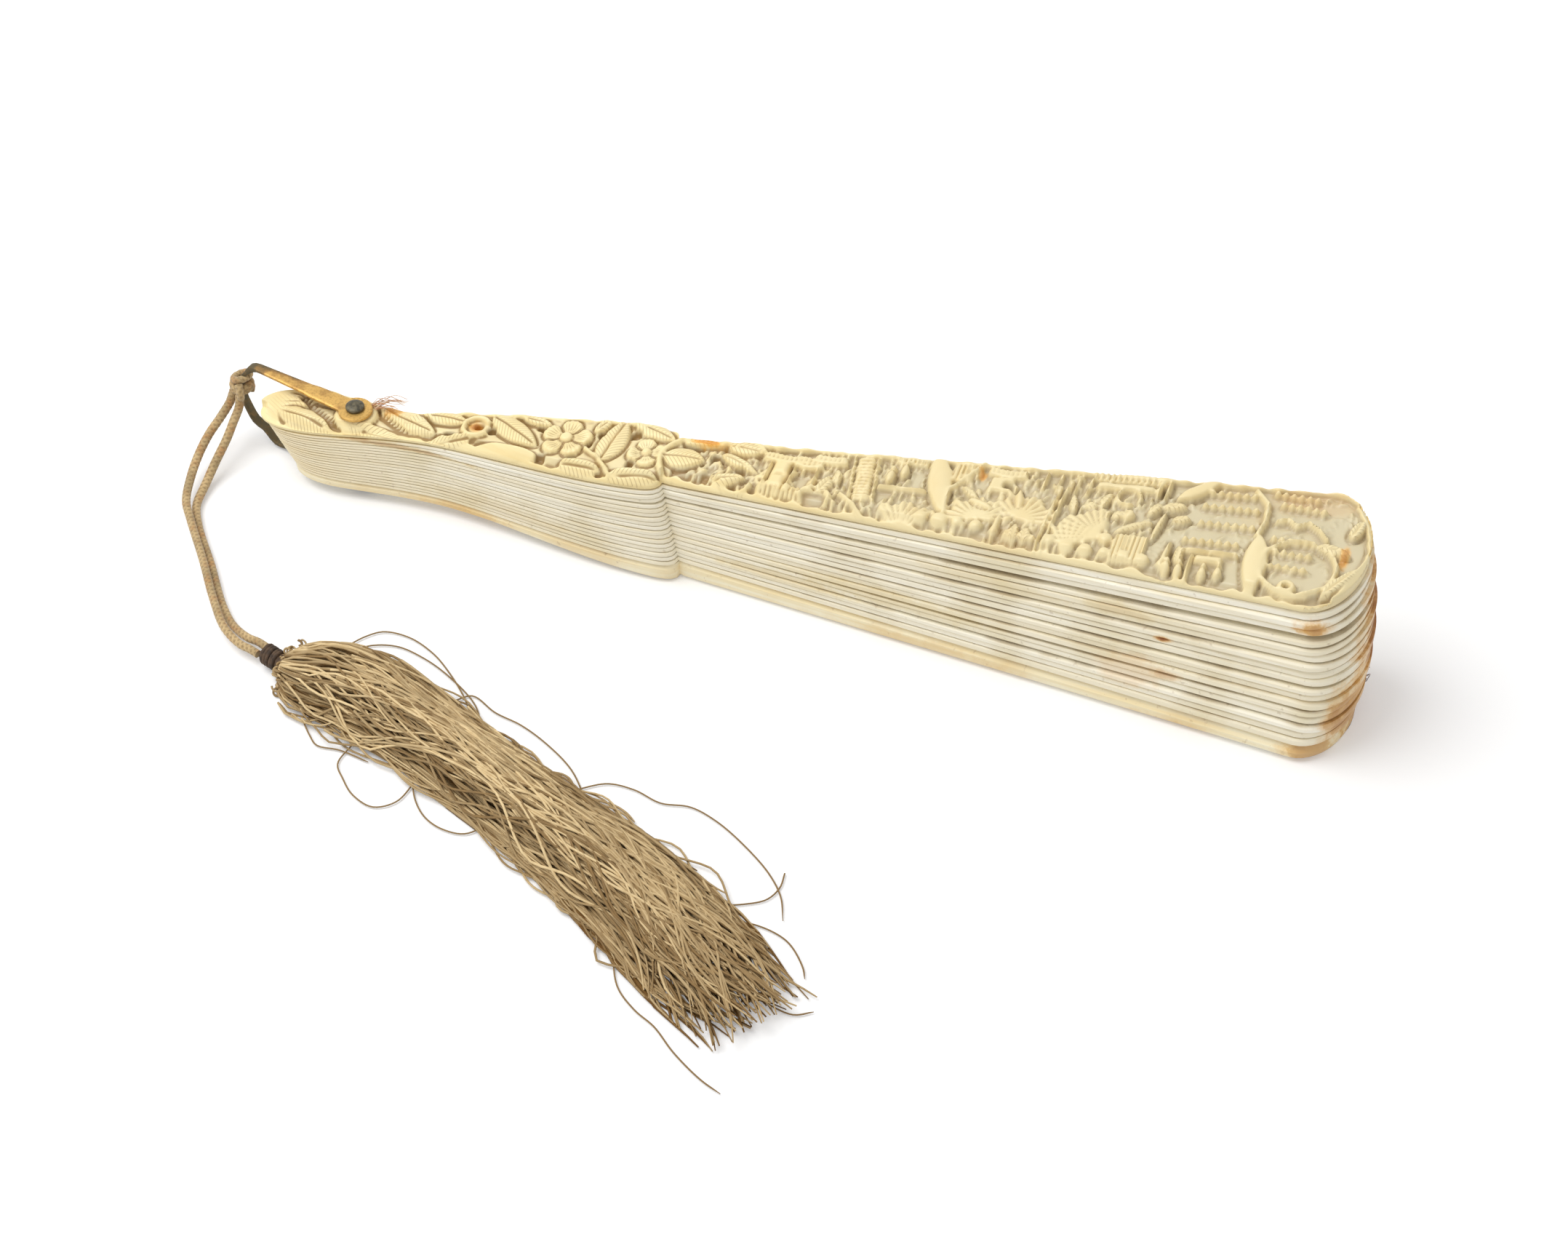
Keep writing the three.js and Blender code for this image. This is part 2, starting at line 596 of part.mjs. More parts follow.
// The hitch knot: three turns of the doubled cord round the bow, with a bore that the bow turns in.
function makeKnot() {
  const bowReach = Math.hypot(BOW_WIDTH, STRIP_THICKNESS) / 2;
  const bore = bowReach + KNOT_BORE_CLEARANCE;
  const outer = bore + KNOT_WALL + KNOT_TURN_RADIUS;
  const outside = turnsProfile(outer, KNOT_TURN_RADIUS, KNOT_TURNS);
  const half = KNOT_TURNS * KNOT_TURN_RADIUS;
  const start = new THREE.Vector2(bore, -half);
  const profile = [start, ...outside, new THREE.Vector2(bore, half), start.clone()];
  const geometry = new THREE.LatheGeometry(profile, ROUND_SEGMENTS);
  geometry.rotateX(Math.PI / 2);
  const knot = mesh("hitch_knot", geometry, tanThread());
  knot.position.set(BOW_RADIUS * Math.cos(BAIL_ANGLE), BOW_RADIUS * Math.sin(BAIL_ANGLE), KNOT_Z);
  return knot;
}

function makeStrand(name, points) {
  const route = new THREE.CatmullRomCurve3(points.map((p) => new THREE.Vector3(...p)));
  const section = [];
  for (let k = 0; k < CORD_SIDES; k++) {
    const angle = (2 * Math.PI * k) / CORD_SIDES;
    section.push(new THREE.Vector2(Math.cos(angle), Math.sin(angle)).multiplyScalar(CORD_DIAMETER / 2));
  }
  const options = { steps: CORD_STEPS, extrudePath: route };
  return mesh(name, new THREE.ExtrudeGeometry(new THREE.Shape(section), options), tanThread());
}

// The binding: dark turns of thread round the end of the cord, lying on the table.
function makeBinding() {
  const half = BINDING_TURNS * BINDING_TURN_RADIUS;
  const outside = turnsProfile(BINDING_RADIUS, BINDING_TURN_RADIUS, BINDING_TURNS);
  const profile = [new THREE.Vector2(0, -half), ...outside, new THREE.Vector2(0, half)];
  const geometry = new THREE.LatheGeometry(profile, ROUND_SEGMENTS);
  geometry.rotateZ(-Math.PI / 2);
  const binding = mesh("tassel_binding", geometry, darkThread());
  binding.position.copy(BINDING_CENTRE);
  binding.rotation.z = BINDING_ANGLE;
  return binding;
}

// The tassel: a fluted bundle that lies flat on the table and ends raggedly.
function makeTassel() {
  const last = TASSEL_STATIONS.length - 1;
  const rings = TASSEL_STATIONS.map((station, k) => {
    const before = TASSEL_STATIONS[Math.max(k - 1, 0)];
    const after = TASSEL_STATIONS[Math.min(k + 1, last)];
    const along = new THREE.Vector2(after.x - before.x, after.y - before.y).normalize();
    const ring = [];
    for (let j = 0; j < TASSEL_ARC_POINTS; j++) {
      const angle = (Math.PI * j) / (TASSEL_ARC_POINTS - 1);
      const flute = 1 - TASSEL_FLUTE_DEPTH * Math.cos(TASSEL_FLUTES * angle) ** 2;
      const across = station.halfWidth * flute * Math.cos(angle);
      const ragged = k === last ? TASSEL_RAGGED * Math.sin(j * TASSEL_RAGGED_STEP) : 0;
      const x = station.x - across * along.y + ragged * along.x;
      const y = station.y + across * along.x + ragged * along.y;
      ring.push(new THREE.Vector3(x, y, station.lift + station.height * flute * Math.sin(angle)));
    }
    return ring;
  });
  return mesh("tassel", loft(rings), tanThread());
}

const fan = new THREE.Group();
fan.add(makeBackGuard());
for (let layer = 0; layer < STICK_COUNT; layer++) {
  fan.add(makeStick(layer));
}
fan.add(makeFrontGuard(), makeRivet(), makeBail(), makeKnot());
fan.add(makeStrand("cord_strand_a", STRAND_A_POINTS), makeStrand("cord_strand_b", STRAND_B_POINTS));
fan.add(makeBinding(), makeTassel());

export default fan;
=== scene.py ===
"""A folded brise fan of carved bone on a white table, with its brass bail, braided cord and tassel."""
import math

import bmesh
import bpy
import numpy as np
from mathutils import Matrix, Vector


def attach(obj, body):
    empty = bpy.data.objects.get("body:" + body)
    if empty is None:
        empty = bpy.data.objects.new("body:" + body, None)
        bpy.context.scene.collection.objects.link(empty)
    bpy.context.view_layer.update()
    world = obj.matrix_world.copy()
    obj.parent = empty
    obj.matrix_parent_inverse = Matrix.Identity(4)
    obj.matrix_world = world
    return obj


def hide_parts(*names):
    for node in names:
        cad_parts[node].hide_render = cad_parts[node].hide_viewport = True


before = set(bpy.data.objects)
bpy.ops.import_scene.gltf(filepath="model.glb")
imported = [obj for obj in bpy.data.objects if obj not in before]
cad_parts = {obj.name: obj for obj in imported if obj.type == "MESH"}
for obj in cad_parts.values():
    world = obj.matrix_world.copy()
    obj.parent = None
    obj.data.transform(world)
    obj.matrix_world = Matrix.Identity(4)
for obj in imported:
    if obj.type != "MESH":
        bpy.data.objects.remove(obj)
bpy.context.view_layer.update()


# Studio: a plain white table under one broad soft lamp, with even white light from all round.
# The camera stands on the tassel's side of the fan and looks down on it, as in the photograph.
def shader_node(tree, kind, inputs=None, **settings):
    """Adds a node; an input is given as a value or as the socket that feeds it."""
    made = tree.nodes.new(kind)
    for name, value in settings.items():
        setattr(made, name, value)
    for name, value in (inputs or {}).items():
        if isinstance(value, bpy.types.NodeSocket):
            tree.links.new(value, made.inputs[name])
        else:
            made.inputs[name].default_value = value
    return made


def maths(tree, operation, *numbers):
    """A sum on numbers or sockets."""
    return shader_node(tree, "ShaderNodeMath", dict(enumerate(numbers)), operation=operation).outputs[0]


def ranged(tree, value, low, high, to_low=0.0, to_high=1.0):
    """A socket's value taken from one range to another, and held at its ends."""
    inputs = {"Value": value, "From Min": low, "From Max": high, "To Min": to_low, "To Max": to_high}
    return shader_node(tree, "ShaderNodeMapRange", inputs).outputs["Result"]


def seen_directly(tree):
    """One for rays from the camera, from a mirror or through glass, and nought for light."""
    path = shader_node(tree, "ShaderNodeLightPath").outputs
    mirrored = maths(tree, "MAXIMUM", path["Is Glossy Ray"], path["Is Transmission Ray"])
    return maths(tree, "MAXIMUM", path["Is Camera Ray"], mirrored)


scene = bpy.context.scene
scene.view_settings.view_transform = "Standard"

CAMERA_PLACE = (0.20295, -0.35121, 0.37013)
CAMERA_AXES = (
    (0.94602, 0.32390, -0.01073),
    (-0.22467, 0.67933, 0.69857),
    (0.23356, -0.65846, 0.71545),
)
camera_data = bpy.data.cameras.new("camera")
camera_data.sensor_width = 36
camera_data.lens = 70.18
camera_data.clip_start = 0.01
camera_data.clip_end = 20
camera = bpy.data.objects.new("camera", camera_data)
camera.matrix_world = Matrix.Translation(CAMERA_PLACE) @ Matrix(CAMERA_AXES).transposed().to_4x4()
scene.collection.objects.link(camera)
scene.camera = camera

SURROUND_LIGHT = 0.66
TABLE_GLOW, FAR_GLOW = 0.2, 0.8
GLOW_CENTRE, GLOW_NEAR, GLOW_FAR = (0.08, -0.04, 0), 0.15, 0.7
TABLE_REACH, TABLE_TOP = 2.5, -0.00005
world = bpy.data.worlds.new("surround")
world.use_nodes = True
tree = world.node_tree
surround = tree.nodes["Background"]
surround.inputs["Color"].default_value = (1, 1, 1, 1)
level = ranged(tree, seen_directly(tree), 0, 1, SURROUND_LIGHT, 1)
tree.links.new(level, surround.inputs["Strength"])
scene.world = world

LAMP_PLACE, LAMP_AIM = Vector((-0.3, -0.13, 0.81)), Vector((0.09, -0.02, 0))
lamp_data = bpy.data.lights.new("overhead_lamp", "AREA")
lamp_data.shape = "DISK"
lamp_data.size = 0.7
lamp_data.energy = 5.2
lamp = bpy.data.objects.new("overhead_lamp", lamp_data)
lamp.location = LAMP_PLACE
lamp.rotation_mode = "QUATERNION"
lamp.rotation_quaternion = (LAMP_AIM - LAMP_PLACE).to_track_quat("-Z", "Y")
scene.collection.objects.link(lamp)

table_white = bpy.data.materials.new("table_white")
table_white.use_nodes = True
tree = table_white.node_tree
tree.nodes.clear()
matt = shader_node(tree, "ShaderNodeBsdfDiffuse", {"Color": (0.82, 0.82, 0.82, 1)})
place = shader_node(tree, "ShaderNodeTexCoord").outputs["Object"]
away = shader_node(tree, "ShaderNodeVectorMath", {0: place, 1: GLOW_CENTRE}, operation="DISTANCE")
further = ranged(tree, away.outputs["Value"], GLOW_NEAR, GLOW_FAR, TABLE_GLOW, FAR_GLOW)
glow_level = ranged(tree, seen_directly(tree), 0, 1, 0, further)
glow = shader_node(tree, "ShaderNodeEmission", {"Strength": glow_level})
both = shader_node(tree, "ShaderNodeAddShader", {0: matt.outputs[0], 1: glow.outputs[0]})
shader_node(tree, "ShaderNodeOutputMaterial", {"Surface": both.outputs[0]})

table_mesh = bpy.data.meshes.new("table")
table_corners = ((-1, -1), (1, -1), (1, 1), (-1, 1))
table_points = [(TABLE_REACH * x, TABLE_REACH * y, TABLE_TOP) for x, y in table_corners]
table_mesh.from_pydata(table_points, [], [(0, 1, 2, 3)])
table_mesh.materials.append(table_white)
table = bpy.data.objects.new("table", table_mesh)
scene.collection.objects.link(table)


# Back guard: the lower outer blade, sawn from bone, which lies on the table.
# Its edges are rounded by wear, and its head is stained brown by the lost ribbon.
MM = 0.001
TIP_X, SWELL_X, WAIST_X, BULB_X, NOTCH_X, SHOULDER_X, HEAD_X = -17.6, -8, 13, 51, 58.4, 59.8, 175.6
SWELL, WAIST, BULB, NOTCH = 4.7, 3.2, 6.7, 4.3
HEAD_ROUND = 8
SECTOR_SLOPE = math.tan(math.radians(8.75 / 2))
STICKS = 17
STACK_LEAN = 2.7
STACK_SKEW, STAGGER, STAGGER_STEP = math.radians(0.4), math.radians(0.09), 2.4
RIVET_TOP_OF_BACK, HEAD_TOP_OF_BACK = 3.7, 3.1
BAIL_ROOM, ROOM_END, FLAT_START = 1.8, 26, 62


def sweep(start, first, second, end, steps=60):
    """Points on a smooth bend from start towards end."""
    t = np.linspace(0, 1, steps, endpoint=False)[:, None]
    a, b, c, d = (np.array(p, float) for p in (start, first, second, end))
    return (1 - t) ** 3 * a + 3 * (1 - t) ** 2 * t * b + 3 * (1 - t) * t**2 * c + t**3 * d


def blade_edge(step):
    """One edge of the outline that all the blades share, from tip to head: x, and half the width there."""
    round_x = HEAD_X - HEAD_ROUND
    angle = np.linspace(0, math.pi / 2, 60)
    head = np.stack([round_x + HEAD_ROUND * np.sin(angle), SECTOR_SLOPE * round_x * np.cos(angle)], 1)
    line = np.concatenate([
        sweep((TIP_X, 0), (TIP_X, 3.4), (SWELL_X - 5, SWELL), (SWELL_X, SWELL)),
        sweep((SWELL_X, SWELL), (SWELL_X + 5, SWELL), (WAIST_X - 9, WAIST), (WAIST_X, WAIST)),
        sweep((WAIST_X, WAIST), (WAIST_X + 9, WAIST), (BULB_X - 12, BULB), (BULB_X, BULB)),
        sweep((BULB_X, BULB), (BULB_X + 4.5, BULB), (NOTCH_X, BULB), (NOTCH_X, NOTCH)),
        [(NOTCH_X, NOTCH), (SHOULDER_X, SECTOR_SLOPE * SHOULDER_X)],
        head,
    ])
    run = np.concatenate([[0], np.cumsum(np.hypot(*np.diff(line, axis=0).T))])
    at = np.linspace(0, run[-1], int(run[-1] / step))
    half = np.maximum(np.interp(at, run, line[:, 1]), 0.03)
    return np.stack([np.interp(at, run, line[:, 0]), half], 1)


def layer_turn(layer):
    """A blade's small turn about the rivet in the closed stack; sticks count from 0."""
    return STACK_SKEW * ((layer + 1) / (STICKS + 1) - 0.5) + STAGGER * math.sin(layer * STAGGER_STEP)


def layer_lean(layer):
    """How far a blade is shifted towards the head; the lowest one is shifted most."""
    return STACK_LEAN * (1 - (layer + 1) / (STICKS + 1))


def head_shift(layer):
    """How far a blade's head stands out; those in the middle of the stack stand out most."""
    level = (layer + 1) / (STICKS + 1)
    return 1.3 * math.sin(math.pi * level) ** 0.8 - (1 - level) ** 4 + 0.2 * math.sin(4.1 * layer)


def turned(points, angle):
    """Points turned about the rivet."""
    c, s = math.cos(angle), math.sin(angle)
    x, y, z = points.T
    return np.stack([x * c - y * s, x * s + y * c, z], 1)


def new_piece(name, points, faces, material, sharp=40):
    """A piece from points in millimetres, with its faces turned outwards."""
    mesh = bpy.data.meshes.new(name)
    mesh.from_pydata((np.asarray(points) * MM).tolist(), [], faces)
    made = bmesh.new()
    made.from_mesh(mesh)
    bmesh.ops.recalc_face_normals(made, faces=made.faces)
    made.to_mesh(mesh)
    made.free()
    mesh.polygons.foreach_set("use_smooth", [True] * len(mesh.polygons))
    mesh.set_sharp_from_angle(angle=math.radians(sharp))
    mesh.materials.append(material)
    made_object = bpy.data.objects.new(name, mesh)
    scene.collection.objects.link(made_object)
    return made_object


def point_values(piece, name, values):
    """Keeps one number for each point of a piece, for its material to read."""
    kept = piece.data.attributes.new(name, "FLOAT", "POINT")
    kept.data.foreach_set("value", np.asarray(values, np.float32).ravel())


HOLE = 1.0
TIP_START, TIP_TRIM = -4, 2.0
SHIFT_START, SHIFT_OVER = 150, 20
SLOT_START, SLOT_END, SLOT_NEAR, SLOT_FAR = HEAD_X - 16, HEAD_X - 10, 2.7, 3.7


def blade(name, layer, underside, top, edge, material, slotted):
    """A blade with rounded edges between two heights along x, a hole for the rivet, and ribbon slots."""
    lean = layer_lean(layer)
    line = blade_edge(1.1)
    in_tip = np.clip((TIP_START - line[:, 0]) / (TIP_START - TIP_X), 0, 1)
    line[:, 0] += TIP_TRIM * (lean / STACK_LEAN) ** 1.3 * in_tip
    line[:, 0] += head_shift(layer) * np.clip((line[:, 0] - SHIFT_START) / SHIFT_OVER, 0, 1)
    cuts = np.concatenate([HOLE * np.cos(np.linspace(math.pi, 0, 9)) - lean, [SLOT_START, SLOT_END]])
    cuts = np.stack([cuts, np.interp(cuts, line[:, 0], line[:, 1])], 1)
    line = np.concatenate([line, cuts])
    line = line[np.argsort(line[:, 0], kind="stable")]
    sections, openings = [], []
    for x, half in line:
        low, high = underside(x + lean), top(x + lean)
        e = min(edge(x), 0.4 * half, 0.4 * (high - low))
        outer, inner = min(SLOT_FAR, 0.75 * half), min(SLOT_NEAR, 0.5 * half)
        in_hole = abs(x + lean) < HOLE + 0.001
        if in_hole:
            inner = math.sqrt(max(HOLE**2 - (x + lean) ** 2, 0.0004))
        in_slot = slotted and SLOT_START - 0.001 < x < SLOT_END + 0.001
        openings.append("hole" if in_hole else "slot" if in_slot else "")
        across = [half, half, half - e, outer, inner, -inner, -outer, e - half, -half, -half]
        heights = [low + e, high - e] + [high] * 6 + [high - e, low + e]
        back = [e - half, -outer, -inner, inner, outer, half - e]
        sections.append([(x + lean, y, z) for y, z in zip(across + back, heights + [low] * 6)])
    count = len(sections[0])
    points = turned(np.array(sections).reshape(-1, 3), layer_turn(layer))
    faces = [tuple(range(count)), tuple((len(sections) - 1) * count + k for k in range(count))]
    cut_cells = {"hole": (4, 12), "slot": (3, 5, 11, 13), "": ()}
    cut_walls = {"hole": ((4, 13), (5, 12)), "slot": ((3, 14), (4, 13), (5, 12), (6, 11)), "": ()}
    cut_ends = {"hole": ((4, 5, 12, 13),), "slot": ((3, 4, 13, 14), (5, 6, 11, 12)), "": ()}
    for i in range(len(sections) - 1):
        here = i * count
        cut = openings[i] if openings[i] == openings[i + 1] else ""
        for k in range(count):
            if k not in cut_cells[cut]:
                far = (k + 1) % count
                faces.append((here + k, here + far, here + far + count, here + k + count))
        for upper, lower in cut_walls[cut]:
            faces.append((here + upper, here + lower, here + lower + count, here + upper + count))
        if openings[i] != openings[i + 1]:
            edge_column = here + count if openings[i + 1] else here
            for corners in cut_ends[openings[i] or openings[i + 1]]:
                faces.append(tuple(edge_column + k for k in corners))
    made = new_piece(name, points, faces, material)
    on_arris = np.zeros((len(sections), count))
    on_arris[:, [2, 7, 10, 15]] = 1
    point_values(made, "arris", on_arris)
    return made


def rgb(red, green, blue):
    """A colour, from 0 to 255, as the linear values that a shader takes."""
    shares = [c / 255 for c in (red, green, blue)]
    return tuple(c / 12.92 if c < 0.04045 else ((c + 0.055) / 1.055) ** 2.4 for c in shares) + (1,)


def new_surface(name, roughness=0.5, metallic=0.0):
    """A material with its node tree and its main shader."""
    material = bpy.data.materials.new(name)
    material.use_nodes = True
    shader = material.node_tree.nodes["Principled BSDF"]
    shader.inputs["Roughness"].default_value = roughness
    shader.inputs["Metallic"].default_value = metallic
    return material, material.node_tree, shader


def new_group(name, inputs, outputs):
    """A shader group with named sockets, with its own in and out nodes."""
    group = bpy.data.node_groups.new(name, "ShaderNodeTree")
    for label, kind, value in inputs:
        socket = group.interface.new_socket(label, in_out="INPUT", socket_type=kind)
        socket.default_value = value
    for label, kind in outputs:
        group.interface.new_socket(label, in_out="OUTPUT", socket_type=kind)
    return group, group.nodes.new("NodeGroupInput"), group.nodes.new("NodeGroupOutput")


def noise(tree, place, scale, detail=2.0, roughness=0.5):
    """A cloudy pattern at a place, of so many clouds to the metre."""
    inputs = {"Vector": place, "Scale": scale, "Detail": detail, "Roughness": roughness}
    return shader_node(tree, "ShaderNodeTexNoise", inputs).outputs["Fac"]


# Bone grain: long pale streaks along the blade, a cloudy mottle and fine specks.
STREAKS_PER_METRE = (30, 30, 900)
bone_grain, given, out = new_group(
    "bone_grain",
    [("Vector", "NodeSocketVector", (0, 0, 0))],
    [("Streaks", "NodeSocketFloat"), ("Mottle", "NodeSocketFloat"), ("Specks", "NodeSocketFloat")],
)
spot = given.outputs["Vector"]
long_way = shader_node(bone_grain, "ShaderNodeVectorMath", {
    0: spot, 1: STREAKS_PER_METRE}, operation="MULTIPLY")
specks = noise(bone_grain, spot, 900.0)
bone_grain.links.new(noise(bone_grain, long_way.outputs[0], 1.0, 4.0, 0.6), out.inputs["Streaks"])
bone_grain.links.new(noise(bone_grain, spot, 70.0, 3.0), out.inputs["Mottle"])
bone_grain.links.new(ranged(bone_grain, specks, 0.66, 0.76), out.inputs["Specks"])

# Stain: a cloudy patch of rust round one place.
stain_patch, given, out = new_group(
    "stain_patch",
    [("Vector", "NodeSocketVector", (0, 0, 0)), ("Centre", "NodeSocketVector", (0, 0, 0)),
     ("Reach", "NodeSocketFloat", 0.005), ("Stretch", "NodeSocketVector", (1, 1, 1))],
    [("Mask", "NodeSocketFloat")],
)
spot = given.outputs
away = shader_node(stain_patch, "ShaderNodeVectorMath", {
    0: spot["Vector"], 1: spot["Centre"]}, operation="SUBTRACT")
away = shader_node(stain_patch, "ShaderNodeVectorMath", {
    0: away.outputs[0], 1: spot["Stretch"]}, operation="MULTIPLY")
away = shader_node(stain_patch, "ShaderNodeVectorMath", {0: away.outputs[0]}, operation="LENGTH")
share = maths(stain_patch, "DIVIDE", away.outputs["Value"], spot["Reach"])
uneven = maths(stain_patch, "ADD", share, noise(stain_patch, spot["Vector"], 420.0, 4.0, 0.65))
mask = shader_node(stain_patch, "ShaderNodeMapRange", {
    "Value": uneven, "From Min": 1.45, "From Max": 0.75}, interpolation_type="SMOOTHSTEP")
stain_patch.links.new(mask.outputs["Result"], out.inputs["Mask"])


def mixed(tree, share, first, second):
    """Two colours mixed by a share, which is a number or a socket."""
    inputs = {"Fac": share, "Color1": first, "Color2": second}
    return shader_node(tree, "ShaderNodeMixRGB", inputs).outputs["Color"]


def coated(tree, colour, *coats):
    """A colour with others over it: what places each one, from where to where, its shares, and its tint."""
    for value, low, high, least, most, tint in coats:
        colour = mixed(tree, ranged(tree, value, low, high, least, most), colour, rgb(*tint))
    return colour


def stained(tree, place, colour, stains, halo, core):
    """A colour with rust patches over it; each has a centre, a reach, a stretch and two strengths."""
    for centre, reach, stretch, rim_strength, core_strength in stains:
        patch = shader_node(tree, "ShaderNodeGroup", node_tree=stain_patch)
        tree.links.new(place, patch.inputs["Vector"])
        patch.inputs["Centre"].default_value = [c * MM for c in centre]
        patch.inputs["Reach"].default_value = reach * MM
        patch.inputs["Stretch"].default_value = stretch
        colour = mixed(tree, ranged(tree, patch.outputs["Mask"], 0, 0.7, 0, rim_strength), colour, halo)
        colour = mixed(tree, ranged(tree, patch.outputs["Mask"], 0.5, 1, 0, core_strength), colour, core)
    return colour


def object_place(tree):
    """Where a point is on the piece itself."""
    return shader_node(tree, "ShaderNodeTexCoord").outputs["Object"]


def kept_value(tree, name):
    """The number that a piece keeps at each of its points."""
    return shader_node(tree, "ShaderNodeAttribute", attribute_name=name).outputs["Fac"]


def along_fan(tree, place):
    """How far a place is from the rivet, towards the head."""
    return shader_node(tree, "ShaderNodeSeparateXYZ", {"Vector": place}).outputs["X"]


def grained(tree, place):
    """The bone grain at a place: its streaks, mottle and specks."""
    return shader_node(tree, "ShaderNodeGroup", {"Vector": place}, node_tree=bone_grain).outputs


def roughened(tree, shader, height, depth):
    """A fine unevenness of a surface, to a depth in metres."""
    relief = shader_node(tree, "ShaderNodeBump", {"Strength": 0.6, "Distance": depth, "Height": height})
    tree.links.new(relief.outputs["Normal"], shader.inputs["Normal"])


back_bone, tree, shader = new_surface("worn_yellow_bone", 0.45)
place = object_place(tree)
grain = grained(tree, place)
colour = coated(
    tree, rgb(248, 240, 212),
    (grain["Streaks"], 0.35, 0.65, 0, 1, (240, 222, 176)),
    (grain["Mottle"], 0.48, 0.72, 0, 0.6, (228, 196, 134)),
    (grain["Specks"], 0, 1, 0, 0.35, (150, 104, 52)),
)
colour = stained(tree, place, colour, [
    ((172, -11, 2), 7, (1, 1, 1), 0.7, 0.4),
    ((177, 4, 2), 12, (1.6, 0.7, 1), 0.9, 0.8),
    ((108, -8, 0), 24, (1, 2, 6), 0.3, 0.05),
    ((20, -3, 2), 12, (0.7, 2, 5), 0.35, 0.15),
    ((150, -10, 0), 10, (0.7, 2, 4), 0.4, 0.15),
], rgb(226, 182, 98), rgb(164, 98, 34))
tree.links.new(colour, shader.inputs["Base Color"])
roughened(tree, shader, grain["Mottle"], 0.0002)


def back_underside(x):
    """The height of the lower face, which rises at the gorge to leave room for the bail's lower arm."""
    return float(np.interp(x, [ROOM_END, FLAT_START], [BAIL_ROOM, 0]))


def back_top(x):
    """The height of the upper face."""
    return RIVET_TOP_OF_BACK + (HEAD_TOP_OF_BACK - RIVET_TOP_OF_BACK) * x / HEAD_X


def back_round(x):
    """How far the edges are worn round."""
    return float(np.interp(x, [20, HEAD_X], [0.5, 1.1]))


back_guard = blade("back_guard_blade", -1, back_underside, back_top, back_round, back_bone, False)
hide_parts("back_guard")
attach(back_guard, "back_guard")


# Inner sticks: seventeen thin plain blades of paler bone, thicker at the head than at the rivet.
# Each is sawn and scraped, so they lie a little unevenly; their edges next to the gaps are painted a patchy
# brown, partly grime and partly the shade in the gaps.
RIVET_START, RIVET_PITCH = 3.86, 0.61
HEAD_START, HEAD_PITCH = 3.46, 1.71
LOOSE_FROM, LOOSE_LIFT = 14, 0.55
TIP_GAP, RIVET_GAP, GORGE_GAP = 0.18, 0.1, 0.15
WIDE_GAPS = {2: 0.4, 4: 0.66, 7: 0.36, 10: 0.5, 13: 0.45}
HEAD_GAPS = (0.12, 0.1, 0.34, 0.12, 0.36, 0.1, 0.14, 0.38, 0.1, 0.3, 0.12, 0.1, 0.25, 0.3, 0.1, 0.1, 0.1)

stick_bone, tree, shader = new_surface("pale_stick_bone", 0.42)
place = object_place(tree)
grain = grained(tree, place)
along = along_fan(tree, place)
patchy = ranged(tree, grain["Mottle"], 0.47, 0.62, 0, 0.42)
fainter_near_rivet = ranged(tree, along, 0.03, 0.08, 0.4, 1)
# painted shade, in part: a patchy brown on the edges next to the gaps, partly grime and partly the shade in
# the gaps, less of it near the rivet
edge_grime_and_shade = maths(tree, "MULTIPLY", maths(tree, "MULTIPLY", kept_value(tree, "arris"), patchy), fainter_near_rivet)
colour = coated(
    tree, rgb(254, 250, 235),
    (grain["Streaks"], 0.35, 0.65, 0, 1, (241, 232, 206)),
    (along, -0.01, 0.02, 0.85, 0.1, (238, 220, 178)),
    (kept_value(tree, "tone"), 0, 1, 0, 1, (243, 231, 200)),
    (grain["Mottle"], 0.5, 0.68, 0, 0.5, (226, 210, 162)),
    (grain["Specks"], 0, 1, 0, 0.3, (140, 110, 70)),
    (edge_grime_and_shade, 0, 1, 0, 1, (146, 114, 66)),
)
colour = stained(tree, place, colour, [
    ((139, -10.8, 22), 5, (0.5, 1, 2), 0.4, 0.12),
    ((100, -7.6, 9.5), 16, (0.6, 1, 6), 0.4, 0.02),
    ((118, -9, 20), 12, (0.6, 1, 6), 0.25, 0.02),
    ((28, -4, 6), 15, (0.6, 1, 6), 0.25, 0.05),
    ((80, -6, 7), 12, (0.6, 1, 7), 0.4, 0.05),
    ((8, -4, 14.2), 14, (0.6, 1, 16), 0.6, 0.4),
], rgb(226, 204, 144), rgb(168, 106, 40))
colour = stained(tree, place, colour, [
    ((141.5, -10.9, 9.5), 6, (0.8, 1, 1.1), 0.26, 0.02),
    ((147.5, -11.3, 11), 3.4, (0.8, 1, 2), 0.4, 0.2),
    ((170.5, -13.0, 29.2), 3.8, (0.7, 1, 1.5), 0.9, 0.4),
    ((167.8, -13.1, 28.6), 1.8, (0.6, 1, 1.6), 0.9, 1.0),
    ((146.5, -11.3, 18.5), 1.8, (0.8, 1, 1.6), 0.9, 1.0),
    ((176, -3, 8), 12, (2.2, 0.7, 0.9), 0.75, 0.55),
    ((178, 7, 18), 17, (2.0, 0.9, 0.7), 0.85, 0.75),
], rgb(224, 174, 92), rgb(156, 90, 28))
tree.links.new(colour, shader.inputs["Base Color"])
roughened(tree, shader, grain["Streaks"], 0.00012)


def stick_wave(x, layer):
    """The small wave in a stick that is no longer quite flat."""
    return float(np.interp(x, [60, 120], [0.02, 0.045])) * math.sin(x / 17 + 2.1 * layer)


def stick_underside(layer):
    """The height of a stick's lower face along x."""
    at_rivet = RIVET_START + RIVET_PITCH * layer
    at_head = HEAD_START + HEAD_PITCH * layer + (LOOSE_LIFT if layer >= LOOSE_FROM else 0)
    return lambda x: at_rivet + (at_head - at_rivet) * x / HEAD_X + stick_wave(x, layer)


